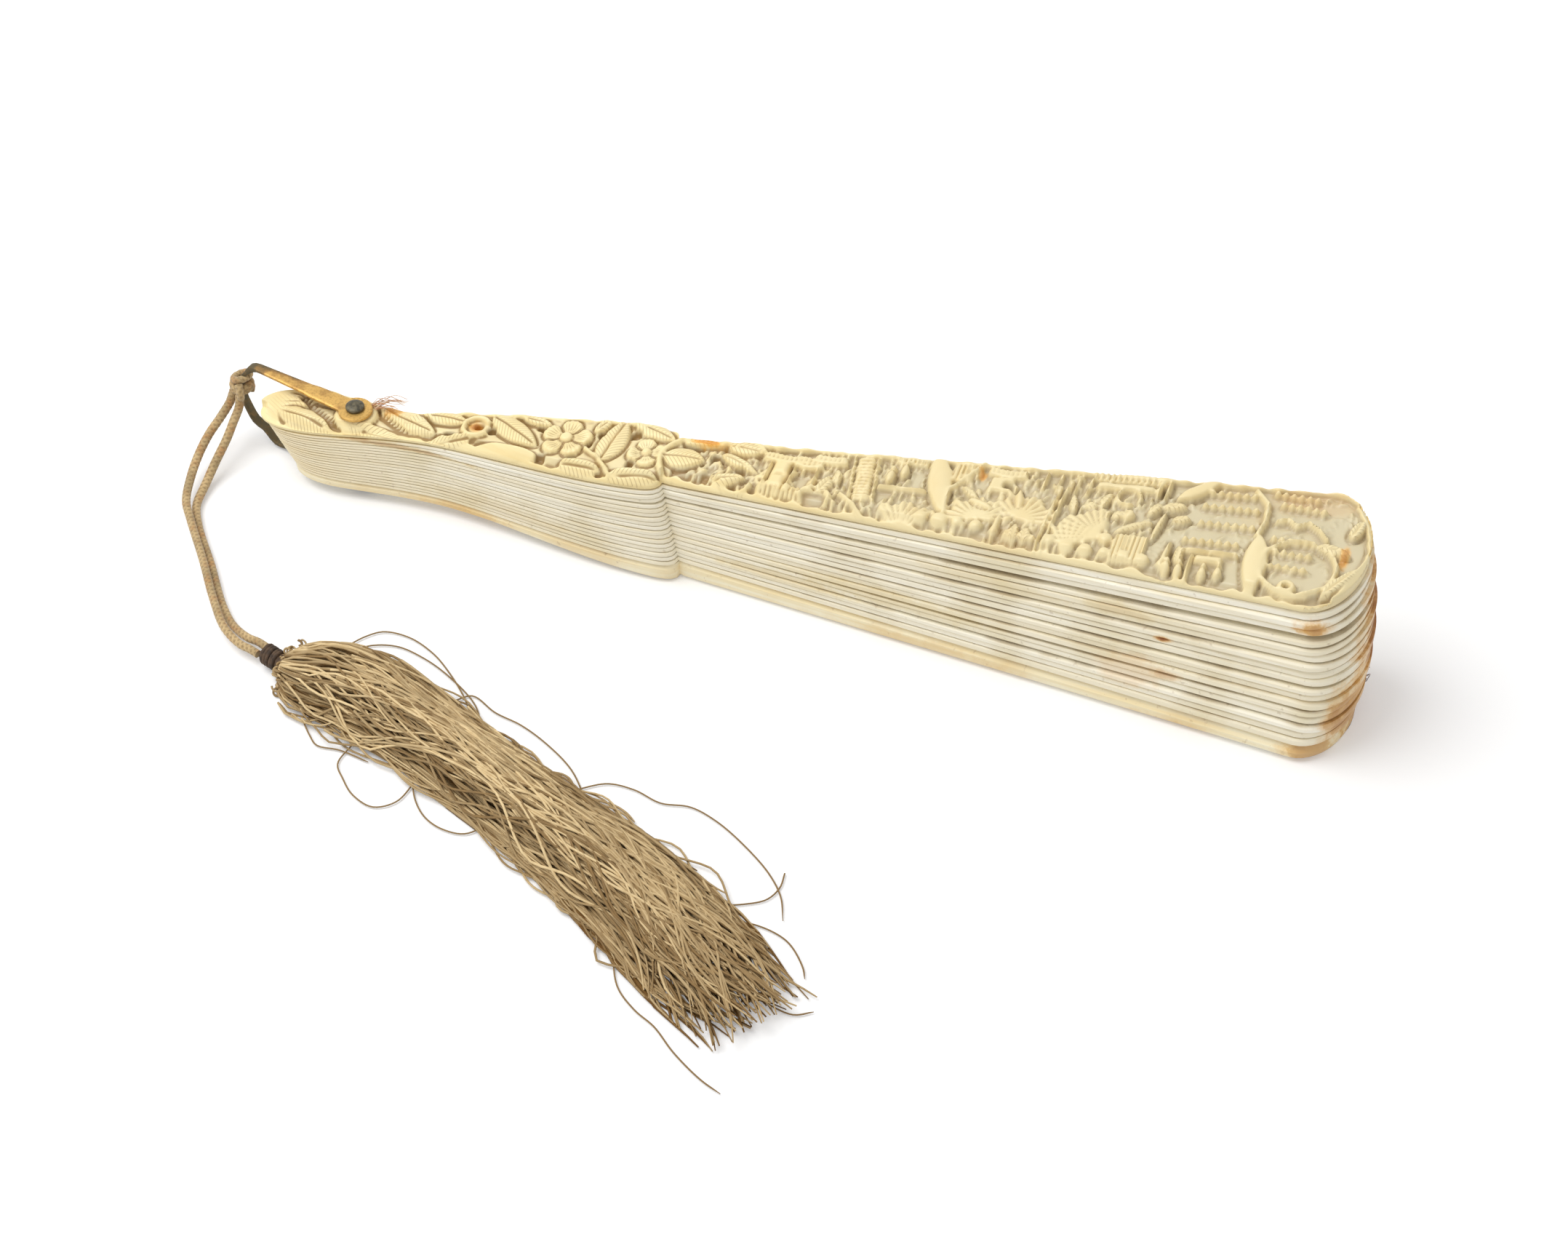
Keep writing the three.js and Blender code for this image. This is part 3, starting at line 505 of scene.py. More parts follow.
def stick_top(layer):
    """The height of its upper face; the gap above it is a hair at the rivet and uneven at the head."""
    underside = stick_underside(layer)
    at_places = [TIP_X, 0, 45, 62, 112, HEAD_X]
    gaps = [TIP_GAP, RIVET_GAP, GORGE_GAP, GORGE_GAP, WIDE_GAPS.get(layer, 0.12), HEAD_GAPS[layer]]

    def top(x):
        pitch = RIVET_PITCH + (HEAD_PITCH - RIVET_PITCH) * x / HEAD_X
        return underside(x) + pitch - float(np.interp(x, at_places, gaps))

    return top


def stick_round(x):
    """How far the edges are rounded, more and more towards the head."""
    return float(np.interp(x, [0, 62, 120, HEAD_X], [0.08, 0.11, 0.17, 0.34]))


for layer in range(STICKS):
    name = f"stick_{layer + 1:02d}"
    faces_at = (stick_underside(layer), stick_top(layer))
    stick = blade(name + "_blade", layer, *faces_at, stick_round, stick_bone, True)
    shade = 0.55 * (0.5 + 0.5 * math.sin(5.3 * layer + 0.7))
    point_values(stick, "tone", np.full(len(stick.data.vertices), shade))
    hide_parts(name)
    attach(stick, name)


# Front guard: the upper outer blade, thick bone carved in relief with leaves, a blossom and a garden.
# The carver left a smooth rim on the near side and round the head; the hollows and fine cuts are painted
# dark, partly as old dirt and partly as shade.
RIVET_UNDER_FRONT, HEAD_UNDER_FRONT = 14.23, 33.08
FRONT_THICK, TIP_THICK, LEAST_THICK = 3.4, 2.7, 0.8
SEAT_START, SEAT_END, EYE_SEAT_TOP, FULL_START = -4, 7.5, 16.78, 20
RELIEF, GORGE_RELIEF, PIT_DEPTH = 1.75, 1.0, 2.5
CELL = 0.1
chance = np.random.default_rng(11)
carve_x = np.arange(TIP_X - 1, HEAD_X + 1, CELL)
carve_y = np.arange(-14, 14, CELL)
carving = np.full((len(carve_x), len(carve_y)), -RELIEF)
vein_turn, vein_share = np.zeros_like(carving), np.zeros_like(carving)


def direction(turn):
    """The steps along x and y of a direction in degrees."""
    return math.cos(math.radians(turn)), math.sin(math.radians(turn))


def area_at(x, y, turn, reach):
    """The part of the carving near a place, with the distances along and across a direction there."""
    first = max(int((x - reach - carve_x[0]) / CELL), 0)
    lowest = max(int((y - reach - carve_y[0]) / CELL), 0)
    size = int(2 * reach / CELL) + 2
    area = (slice(first, first + size), slice(lowest, lowest + size))
    gx, gy = np.meshgrid(carve_x[area[0]] - x, carve_y[area[1]] - y, indexing="ij")
    c, s = direction(turn)
    return area, gx * c + gy * s, gy * c - gx * s


def area_between(start, end, margin):
    """The part of the carving along a line between two places, as above, and the line's length."""
    (x0, y0), (x1, y1) = start, end
    length = math.hypot(x1 - x0, y1 - y0)
    turn = math.degrees(math.atan2(y1 - y0, x1 - x0))
    return area_at((x0 + x1) / 2, (y0 + y1) / 2, turn, 0.5 * length + margin), length


def soft(value, width=0.25):
    """Nought below zero, and a smooth rise to one over a width."""
    t = np.clip(value / width, 0, 1)
    return t * t * (3 - 2 * t)


def raised(area, share, height):
    """Leaves bone standing up to a height, where it is not higher yet."""
    part = carving[area]
    carving[area] = np.maximum(part, part + (height - part) * share)


def sunk(area, share, height):
    """Cuts bone away down to a height."""
    part = carving[area]
    carving[area] = part + (np.minimum(height, part) - part) * share


def laid_over(area, inside, height):
    """Sets a motif over what is carved already, with a cut all round it."""
    part = carving[area]
    part = part - 0.55 * soft(inside + 0.55, 0.5) * (1 - soft(inside, 0.15))
    share = soft(inside, 0.2)
    carving[area] = part + (height - part) * share
    vein_share[area] *= 1 - share


def veined(area, turn, share):
    """Scratches fine lines over a motif, one for each whole number of turns."""
    vein_turn[area] = np.where(share > 0, turn, vein_turn[area])
    vein_share[area] = np.where(share > 0, share, vein_share[area])


def leaf(x, y, turn, length, width, top=-0.12, ribbed=True):
    """A leaf with a crowned back, a cut middle rib and slanting side veins."""
    area, u, v = area_at(x, y, turn, 0.5 * length + 0.8)
    t = np.clip(u / length + 0.5, 0, 1)
    half = 0.5 * width * np.sin(np.pi * t**0.85) ** 0.7 + np.minimum(0.5 * length - np.abs(u), 0)
    height = top - 0.6 * (np.abs(v) / (0.5 * width)) ** 2 - 0.3 * (2 * t - 1) ** 2
    if ribbed:
        height -= 0.6 * np.exp(-((v / 0.17) ** 2))
    inside = half - np.abs(v)
    laid_over(area, inside, height)
    if ribbed:
        veined(area, (u - 0.9 * np.abs(v)) / 0.75, soft(inside, 0.4) * soft(np.abs(v) - 0.1))


def blade_of_grass(x, y, turn, length, width, top):
    """A short low stroke that only breaks up the ground."""
    area, u, v = area_at(x, y, turn, 0.5 * length + 0.4)
    half = 0.5 * width * np.cos(np.pi * np.clip(u / length, -0.5, 0.5))
    raised(area, soft(half - np.abs(v), 0.2), top)


def blossom(x, y, radius, petals, top=-0.05):
    """An open flower: hollow petals round a small button."""
    area, u, v = area_at(x, y, 18, radius + 0.5)
    r, angle = np.hypot(u, v), np.arctan2(v, u)
    petal = np.abs(np.cos(petals * angle / 2))
    edge = radius * (0.6 + 0.4 * petal**0.5)
    height = top - 0.45 * np.exp(-(((r - 0.45 * radius) / (0.25 * radius)) ** 2))
    height -= 0.35 * soft(r / radius - 0.75, 0.3)
    height -= 0.9 * np.exp(-((petal / 0.2) ** 2)) * soft(r - 0.25 * radius)
    height -= 0.16 * (1 + np.cos(6 * petals * angle)) * soft(r - 0.35 * radius)
    laid_over(area, edge - r, height)
    on_petals = soft(edge - r, 0.3) * soft(r - 0.3 * radius) * soft(0.85 * radius - r, 1.2)
    veined(area, angle * 7 * petals / (2 * np.pi), on_petals)
    laid_over(area, 0.24 * radius - r, top + 0.02 - 0.25 * (r / radius) ** 2)


def spray(x, y, turn, radius, spread, needles, top=-0.2):
    """Needles or reeds that fan out from a place."""
    area, u, v = area_at(x, y, turn, radius + 0.4)
    r, angle = np.hypot(u, v), np.degrees(np.arctan2(v, u))
    ragged = radius * (0.92 + 0.08 * np.cos(np.radians(angle) * 9))
    share = soft(ragged - r) * soft(spread / 2 - np.abs(angle), 8)
    height = top - 0.32 * (1 + np.cos(np.radians(angle) * 360 * needles / spread)) - 0.3 * r / radius
    raised(area, share, height)


def panel(x, y, turn, length, width):
    """The part of the carving round a straight-sided panel, the distances along it, and its share there."""
    area, u, v = area_at(x, y, turn, 0.5 * math.hypot(length, width) + 0.4)
    return area, u, soft(0.5 * length - np.abs(u)) * soft(0.5 * width - np.abs(v))


def slats(x, y, turn, length, width, pitch, top=-0.15):
    """A row of bars side by side, as on a fence, a tiled roof or a ladder."""
    area, u, share = panel(x, y, turn, length, width)
    raised(area, share, top - 0.45 * (1 + np.cos(2 * np.pi * u / pitch)))


def bar(x, y, turn, length, width, top=-0.08):
    """A plain ledge, pole or wall."""
    area, _, share = panel(x, y, turn, length, width)
    raised(area, share, top)


def boss(x, y, radius, top=-0.05):
    """A round knob."""
    area, u, v = area_at(x, y, 0, radius + 0.3)
    r = np.hypot(u, v)
    raised(area, soft(radius - r, 0.3), top - 0.5 * (r / radius) ** 2)


def beads(x, y, turn, length, pitch, size=1.3):
    """A row of small knobs on a thin stem, like a string of leaves seen end on."""
    bar(x, y, turn, length, 0.5, -0.5)
    c, s = direction(turn)
    for along in np.arange(-0.5 * length, 0.5 * length + 0.01, pitch):
        boss(x + along * c, y + along * s, 0.5 * size, -0.1)


def pit(x, y, radius, depth=PIT_DEPTH, stretch=1.0):
    """A drilled hollow."""
    area, u, v = area_at(x, y, 0, radius * max(stretch, 1) + 0.3)
    away = (np.abs(u) ** 3 + np.abs(v / stretch) ** 3) ** (1 / 3)
    sunk(area, soft(radius - away, 0.3), -depth)


def ridge(points, width=0.8, top=-0.1):
    """A stem, trunk or bracket that follows a few points."""
    for start, end in zip(points, points[1:]):
        (area, u, v), length = area_between(start, end, width)
        away = np.hypot(np.maximum(np.abs(u) - 0.5 * length, 0), v)
        raised(area, soft(0.5 * width - away, 0.25), top - 0.3 * (away / width) ** 2)


def arc(x, y, radius, start, end, width=0.9, top=-0.1):
    """Part of a ring, for scrolls and brackets."""
    angles = np.radians(np.linspace(start, end, max(int(abs(end - start) / 15), 2)))
    ridge([(x + radius * math.cos(a), y + radius * math.sin(a)) for a in angles], width, top)


def roof(x, y, width, height, turn=0):
    """A tiled roof with eaves that curl up at both ends."""
    area, u, v = area_at(x, y, turn, 0.55 * math.hypot(width, height) + 0.6)
    curl = 0.25 * height * (2 * u / width) ** 2
    slope = 0.5 * height - np.abs(v - curl)
    inside = 0.5 * width - 0.25 * (v - curl + 0.5 * height) - np.abs(u)
    tiles = 0.22 * (1 + np.cos(2 * np.pi * u / 0.8)) * soft(v - curl + 0.3 * height)
    raised(area, soft(slope) * soft(inside), -0.1 - tiles)


def serrated_cut(start, end, width=0.9, depth=1.7):
    """A deep cut with saw teeth along one side."""
    (area, u, v), length = area_between(start, end, 1)
    reach = np.where(v > 0, width * (0.5 + (u / 0.95) % 1), width * 0.5)
    sunk(area, soft(reach - np.abs(v), 0.2) * soft(0.5 * length - np.abs(u), 0.5), -depth)


def hatched(x, y, turn, length, width, pitch=0.6):
    """Fine lines scratched across a patch."""
    area, u, v = area_at(x, y, turn, 0.5 * math.hypot(length, width) + 0.2)
    veined(area, u / pitch, soft(1 - np.hypot(2 * u / length, 2 * v / width), 0.3))


def figure(x, y, turn=90, length=3.4):
    """A small robed person with a plain round head."""
    c, s = direction(turn)
    leaf(x, y, turn, length, 1.7, -0.1, False)
    boss(x + 0.58 * length * c, y + 0.58 * length * s, 0.62)


def window(x, y, length, width, depth=1.8):
    """A dark opening in a wall."""
    area, _, share = panel(x, y, 0, length, width)
    sunk(area, share, -depth)


GARDEN_END, GARDEN_GRASS, HEAD_GRASS = 141, 860, 170
front_edge = blade_edge(0.25)
for x in chance.uniform(SHOULDER_X + 3, GARDEN_END, GARDEN_GRASS):
    half = np.interp(x, front_edge[:, 0], front_edge[:, 1])
    blade_of_grass(x, chance.uniform(-half, half), chance.uniform(65, 115), chance.uniform(1.6, 4.2),
                   chance.uniform(0.45, 0.9), chance.uniform(-1.25, -0.6))
for x in chance.uniform(GARDEN_END, 172, HEAD_GRASS):
    blade_of_grass(x, chance.uniform(-12, 12), chance.uniform(0, 180), chance.uniform(1.2, 3.2),
                   chance.uniform(0.4, 0.7), chance.uniform(-1.4, -0.95))

# On the gorge: long veined leaves, a five-petalled blossom and a scroll, with drilled gaps between them.
carving[carve_x < SHOULDER_X] = -GORGE_RELIEF
for x, y, turn, length, width in (
    (-13.2, 0.8, 10, 10, 4.6), (-6, 2.8, -10, 10, 3.4), (-8.3, -2.8, -14, 12.5, 4.6),
    (5.4, -3.2, -6, 11.5, 3.8), (9.5, 0.9, -24, 14, 5), (16.8, 2.0, -12, 9, 3.4), (18.6, -3.0, 8, 9.5, 2.8),
    (33, 3.9, -10, 6.5, 2.2), (29.8, 0.8, -30, 12, 4.8), (44.6, 5.2, 60, 4.4, 2.4), (47.6, 1.8, 84, 11, 5.2),
    (54, 5.4, -20, 9, 3.8), (44, -5.2, -4, 8, 3.2), (53.8, -5.6, 6, 9.5, 3.2),
):
    leaf(x, y, turn, length, width)
leaf(29.8, -4.1, -2, 13.5, 3.2, -0.15, False)
serrated_cut((-12, 2.6), (-1.5, -4.4))
serrated_cut((4, 1.2), (13, -4.4))
hatched(-15, 0, 55, 6, 5)
hatched(12, 2.4, 40, 7, 3)
blossom(54.2, 0, 3.5, 4)
arc(22.8, 0.4, 2.3, 40, 330, 1.1)
ridge([(43.4, -1), (46.2, -2.8), (49.6, -6)])
for x, y, radius, stretch in (
    (23.1, 0.9, 0.8, 1), (25.6, 0.3, 0.9, 1), (34, 2.5, 0.7, 0.8), (36.4, -4.2, 0.9, 0.9),
    (41.7, -3.3, 0.8, 1), (43.6, 0.3, 0.5, 2), (47.6, -6.2, 0.7, 0.8), (50.9, 4.2, 0.95, 1.2),
    (52.2, -3, 0.7, 1.7), (18.4, -1.5, 1.1, 0.5), (45, 3.1, 0.7, 1.2), (14.2, -2.7, 0.7, 0.9),
    (20.6, 3.4, 0.7, 0.5),
):
    pit(x, y, radius, PIT_DEPTH, stretch)
blossom(39.3, 0.8, 4.7, 5)

# Round the shoulder: a C-scroll, lobed leaves and two brackets.
arc(62.3, -0.3, 5.4, 105, 255, 1.2)
for x, y, turn, length, width in (
    (61, 0, 0, 7.5, 5.2), (63.5, 4.1, 4, 8, 2), (70.6, 4.1, -5, 6.5, 3.4), (70.6, 0.6, -24, 8.5, 2.4),
    (70, -3.4, 15, 6, 2.6), (65, -6.6, -3, 10, 2.2), (72, -6.2, 8, 5, 1.8),
):
    leaf(x, y, turn, length, width)
arc(71.5, 2.6, 2.9, 30, 150)
arc(71.5, -2.6, 2.9, 210, 330)
for x, y, radius in ((66.3, 1.4, 0.9), (65.8, -3.2, 1.0), (71.6, -1.2, 0.8), (75, -5.6, 0.8)):
    pit(x, y, radius)

# On the blade: a garden with a pavilion and its fence, a tower, people, reeds and a banner-like leaf.
bar(78, -0.8, 0, 3.2, 6.6, -0.5)
for y in (-2.4, 0.8):
    bar(78, y, 0, 2.2, 2.4, -0.15)
for x in (76, 80.2, 84.2):
    bar(x, -1, 90, 7.5, 0.7)
roof(78.4, 2.9, 8.6, 2.2)
roof(82.5, 2.6, 5.5, 3)
roof(85.6, 4, 6.5, 2.2)
window(82.2, -1.9, 2.2, 4.2)
slats(81.8, -4.3, -4, 13, 2.6, 0.8)
arc(85.4, -5.2, 2.6, 12, 168, 0.9, -0.06)
pit(85.4, -4.9, 2.0, 1.6, 0.6)
leaf(86.4, -1.4, 70, 5, 2.6)
leaf(87.8, 0.8, 100, 4, 1.6)
slats(92.2, 1.2, -80, 10.5, 3, 0.8)
for x in (90.2, 94.2):
    bar(x, 1.2, -80, 10.5, 0.6)
ridge([(89.5, -3.4), (92.5, -5.6), (96.8, -9)], 1.0)
figure(96.4, 2.4)
figure(98.4, 4.2)
bar(99.2, -0.2, 2, 8.6, 0.9)
window(100.8, 3.2, 2.2, 4.2)
slats(99.5, 6.6, 0, 7, 1.6, 0.8)
leaf(104.9, 2.4, -75, 14, 4.4, -0.08, False)
ridge([(111, 8.4), (108.6, 4.2), (106.8, 1), (107.3, -4.2)], 0.9)
slats(108, 5.6, 0, 4, 4.4, 0.8)
spray(101, -8.8, 90, 6.4, 120, 9)

# Further on: a second house, pines and rocks along the near rim, poles, a curled branch and a fence.
roof(115.4, 6.6, 7, 2.2)
bar(114.8, 4, 0, 4, 3.4, -0.3)
pit(116, 4, 0.9)
spray(113, -4.8, 100, 6, 200, 13)
spray(119.5, -3.5, 70, 6.5, 160, 11)
spray(133.6, -5, 150, 8, 130, 12)
boss(134.4, -5, 1.3)
for x in np.arange(104, 146, 3.1):
    boss(x, -0.0763 * x + 2.3 + chance.uniform(-0.4, 0.4), chance.uniform(1.0, 1.6), -0.2)
for x in (121.6, 124, 127, 129):
    bar(x, 6.4, 88, 4.6, 0.7)
slats(135.5, 9.6, 4, 13, 2.2, 0.95)
bar(135, 7.2, 4, 10, 1.4)
for x in (124.2, 125.2):
    bar(x, -2, 87, 16, 0.6, -0.02)
arc(135.8, 5.2, 1.9, 0, 300, 0.8)
leaf(132.3, 4, 75, 4.5, 1.6)
leaf(138.2, -1.2, 32, 7.5, 1.5)
leaf(142, 0.2, 82, 8.5, 1.2)
slats(138.5, -6.4, 0, 5.5, 6.5, 0.7)
boss(136.6, 1.2, 1.3)
leaf(146.6, 9.2, 42, 9, 2.8, -0.08, False)
spray(129, -9.4, 95, 8, 75, 7)
for x, y, turn, length, width in (
    (116.5, -5.6, 88, 6, 1.4), (119.8, -6.3, 95, 5, 1.8), (121.6, -6.6, 90, 3.6, 2.2),
    (130.4, 2.2, 20, 2.6, 1.8), (135.2, 1.0, 30, 2.8, 1.8), (144.5, -6.4, 85, 8, 1.2),
    (146.5, -6, 95, 5, 1.8), (127.4, 2.4, 100, 5, 1.6), (110.5, 1.2, -40, 5, 1.6),
    (112.6, -1.0, 160, 5, 1.5), (118.6, 1.6, 100, 5, 1.5), (140.6, 3.6, 60, 4, 1.8),
    (143.6, 4.6, 10, 4.4, 2.2), (145.2, 1.8, 20, 3.6, 2.0), (140.2, 8.4, 85, 5, 1.0),
    (141.6, 8.4, 85, 5, 1.0),
):
    leaf(x, y, turn, length, width, -0.2, width > 1.5)

# At the head: strings of small leaves, a trunk, a plain band, a broken ring with leaves in it, and a boss.
for x, y in ((152.4, 6), (152.6, 2), (151, -2.4), (151.5, 9.2)):
    beads(x, y, 2, 8.5, 1.35)
bar(151.3, -4.9, 3, 9, 0.9)
bar(151.4, -6.7, 3, 4.6, 1.5, -0.15)
ridge([(155.5, 10.6), (157.8, 8), (158.2, 4), (157.6, 0.6)], 1.1)
for x, y in ((162.5, 10.6), (164, 8.2), (164, 0.2), (163.6, -2.6), (163.4, -5.8)):
    beads(x, y, -3, 7.5, 1.3)
ridge([(160, 4.4), (161.8, 5), (163.2, 3.8), (165, 4.9), (167, 3.4), (168.5, 1.5)], 0.9)
leaf(158.6, -6.2, -86, 14, 4.2, -0.06, False)
arc(165.2, -5.6, 6, -115, 95, 1.0)
arc(165.2, -5.6, 6, 95, 245, 1.0)
boss(164.4, -10.2, 1.7)
pit(164.4, -10.2, 0.6)
for x, y, turn, length, width in (
    (170, -0.6, -12, 6, 2.4), (172.2, -7.4, 58, 9, 2.2), (172.6, 5, 75, 5, 2.4),
):
    leaf(x, y, turn, length, width)
bar(148.6, -8.6, 88, 6, 0.8)
for x, y in ((145.2, -9.4), (147.2, -9.6), (151, -9.6), (153.4, -9.2)):
    figure(x, y, 90, 2.6)


def blurred(field, reach):
    """A field smoothed over a reach in cells, three times over."""
    for _ in range(3):
        for way in (0, 1):
            edge = [(reach + 1, reach) if k == way else (0, 0) for k in (0, 1)]
            total = np.cumsum(np.pad(field, edge, mode="edge"), axis=way)
            size = 2 * reach + 1
            field = (np.take(total, range(size, total.shape[way]), way)
                     - np.take(total, range(total.shape[way] - size), way)) / size
    return field


def head_end(y):
    """Where the rounded end of the head is, at a distance from the middle."""
    head_half = SECTOR_SLOPE * (HEAD_X - HEAD_ROUND)
    return HEAD_X - HEAD_ROUND + HEAD_ROUND * np.sqrt(np.clip(1 - (y / head_half) ** 2, 0, 1))


# The rim is worn round; on the far side only lumps of it are left. The eye's seat round the rivet is flat.
HEAD_RIM, NEAR_RIM, FAR_RIM = 1.1, 0.85, 0.7
HEAD_RIM_TOP, NEAR_RIM_TOP, FAR_RIM_TOP = -0.3, -0.35, -0.55
plan_x, plan_y = np.meshgrid(carve_x, carve_y, indexing="ij")
half_at = np.interp(carve_x, front_edge[:, 0], front_edge[:, 1])[:, None]
to_side = half_at - np.abs(plan_y)
to_end = head_end(carve_y)[None, :] - plan_x
inset = np.minimum(to_side, to_end)
lumps = blurred(chance.random(carving.shape), 6)
lumps = (lumps - lumps.mean()) / lumps.std()
at_head = to_end < to_side
on_near = (plan_y < 0) & ~at_head
rim_width = np.where(at_head, HEAD_RIM, np.where(plan_y < 0, NEAR_RIM, FAR_RIM)) + 0.15 * lumps
far_top = FAR_RIM_TOP + 0.16 * lumps
rim_top = np.where(at_head, HEAD_RIM_TOP, np.where(plan_y < 0, NEAR_RIM_TOP, far_top))
rim_share = soft(rim_width - inset, 0.35)
carving = np.maximum(carving, carving + (rim_top - carving) * rim_share)
carving += 0.04 * lumps * (1 - rim_share)
carving = np.minimum(carving, 0)
near_fall = np.maximum(2.0 - 1.15 * inset, 0)
head_fall = np.maximum(1.1 - 0.9 * inset, 0)
fall = np.where(on_near, near_fall, np.where(at_head, head_fall, 0))
tip_share = soft(-11.5 - plan_x, 3.5)
carving = carving + (-0.35 - carving) * tip_share
vein_share = vein_share * (1 - 0.6 * tip_share)
seat_share = soft(4.0 - np.hypot(plan_x, plan_y), 0.5)
carving = carving * (1 - seat_share)
carving = blurred(carving, 1)
# The hollows and fine cuts, for the dark brown painted there, partly as old dirt and partly as shade.
hollow = np.clip((blurred(carving, 7) - carving) / 0.8, 0, 1)
fine_cuts = np.clip((blurred(carving, 3) - carving) / 0.16, 0, 1)
hollow = np.maximum(hollow, 0.85 * fine_cuts)


def carved(field, x, y):
    """A field of the carving read at places, in between its cells too."""
    i = np.clip((x - carve_x[0]) / CELL, 0, len(carve_x) - 1.001)
    j = np.clip((y - carve_y[0]) / CELL, 0, len(carve_y) - 1.001)
    i0, j0 = i.astype(int), j.astype(int)
    di, dj = i - i0, j - j0
    low = field[i0, j0] * (1 - dj) + field[i0, j0 + 1] * dj
    high = field[i0 + 1, j0] * (1 - dj) + field[i0 + 1, j0 + 1] * dj
    return low * (1 - di) + high * di


front_bone, tree, shader = new_surface("carved_ivory_bone", 0.42)
place = object_place(tree)
grain = grained(tree, place)
along = along_fan(tree, place)
# painted shade, in part: the hollows are coloured dark brown, partly as old dirt and partly as shade, most
# at the gorge
hollow_grime_and_shade = maths(tree, "MULTIPLY", kept_value(tree, "hollow"), ranged(tree, along, 0.035, 0.1, 1.4, 0.52))
to_line = maths(tree, "PINGPONG", kept_value(tree, "vein"), 0.5)
scratch = maths(tree, "MULTIPLY", ranged(tree, to_line, 0.03, 0.14, 1, 0), kept_value(tree, "veined"))
colour = coated(
    tree, rgb(245, 229, 178),
    (grain["Streaks"], 0.3, 0.7, 0, 1, (236, 212, 150)),
    # painted shade: from 65 mm on towards the head the colour is darker, to tone down the highlights there
    (along, 0.065, 0.1, 0, 0.45, (224, 209, 168)),
    (kept_value(tree, "rise"), 0.1, 0.6, 0.85, 0, (204, 194, 164)),
    (hollow_grime_and_shade, 0.08, 0.95, 0, 0.85, (140, 104, 46)),
    (scratch, 0, 1, 0, 0.36, (150, 114, 62)),
    (grain["Mottle"], 0.55, 0.75, 0, 0.35, (220, 182, 116)),
)
colour = stained(tree, place, colour, [
    ((63.5, 4.6, 22), 3.4, (0.8, 2.4, 0.3), 0.95, 0.4),
    ((111, 6.8, 28), 1.6, (1.6, 1, 0.3), 0.6, 0.5),
    ((22.6, 0.8, 18), 1.8, (1, 1, 0.3), 0.5, 0.8),
    ((171.8, -0.5, 35), 2.6, (2.2, 0.7, 0.3), 0.6, 0.45),
    ((6, 3.5, 17), 3, (1, 1, 0.3), 0.6, 0.3),
    ((165, 11, 35), 8, (0.8, 2, 0.3), 0.12, 0.1),
], rgb(240, 176, 64), rgb(176, 104, 34))
tree.links.new(colour, shader.inputs["Base Color"])
roughened(tree, shader, maths(tree, "MULTIPLY_ADD", scratch, -1.4, grain["Streaks"]), 0.00008)


def front_underside(x):
    """The height of the lower face."""
    return RIVET_UNDER_FRONT + (HEAD_UNDER_FRONT - RIVET_UNDER_FRONT) * x / HEAD_X


def front_full_top(x):
    """The height that the uncarved guard would have."""
    stations = [TIP_X, SEAT_START, SEAT_END, FULL_START, HEAD_X]
    tops = [front_underside(TIP_X) + TIP_THICK, EYE_SEAT_TOP, EYE_SEAT_TOP,
            front_underside(FULL_START) + FRONT_THICK, front_underside(HEAD_X) + FRONT_THICK]
    return np.interp(x, stations, tops)


def tube_faces(rings, count):
    """Faces between rings of so many points that follow each other, with a cap on each end."""
    faces = []
    for here in range(0, (rings - 1) * count, count):
        for k in range(count):
            far = (k + 1) % count
            faces.append((here + k, here + far, here + far + count, here + k + count))
    return faces + [tuple(range(count)), tuple((rings - 1) * count + k for k in range(count))]


ROWS, CROWDED = 96, 1.35
EDGE_ROUND = 0.35
LONGER_TIP = 0.8
columns_x, columns_half = front_edge[:, :1], front_edge[:, 1:]
columns_x = columns_x + LONGER_TIP * np.minimum(columns_x - TIP_START, 0) / (TIP_START - TIP_X)
across = np.sin(np.linspace(-1, 1, ROWS) * CROWDED)[None, :] / math.sin(CROWDED)
top_x = np.repeat(columns_x, ROWS, 1)
top_y = across * columns_half
from_edge = np.minimum(columns_half - np.abs(top_y), HEAD_X - top_x)
drop = EDGE_ROUND - np.sqrt(np.maximum(EDGE_ROUND**2 - np.maximum(EDGE_ROUND - from_edge, 0) ** 2, 0))
top_rise = carved(carving, top_x, top_y)
low_z = front_underside(columns_x)
top_z = front_full_top(top_x) + top_rise - np.minimum(drop, 0.4 * columns_half + 0.05)
top_z = np.maximum(top_z - carved(fall, top_x, top_y), low_z + LEAST_THICK)
inner_half = np.maximum(columns_half - EDGE_ROUND, 0.5 * columns_half)
section_x = np.concatenate([top_x] + [columns_x] * 4, 1)
section_y = np.concatenate([top_y, columns_half, inner_half, -inner_half, -columns_half], 1)
section_z = np.concatenate([top_z, low_z + EDGE_ROUND, low_z, low_z, low_z + EDGE_ROUND], 1)
front_points = turned(np.stack([section_x, section_y, section_z], 2).reshape(-1, 3), layer_turn(STICKS))
front_faces = tube_faces(len(front_edge), ROWS + 4)
front_guard = new_piece("front_guard_carving", front_points, front_faces, front_bone, 70)
below = np.zeros((len(front_edge), 4))
point_values(front_guard, "rise", np.concatenate([np.clip(1 + top_rise / RELIEF, 0, 1), below + 1], 1))
point_values(front_guard, "hollow", np.concatenate([carved(hollow, top_x, top_y), below], 1))
point_values(front_guard, "vein", np.concatenate([carved(vein_turn, top_x, top_y), below], 1))
point_values(front_guard, "veined", np.concatenate([carved(vein_share, top_x, top_y), below], 1))
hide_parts("front_guard")
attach(front_guard, "front_guard")


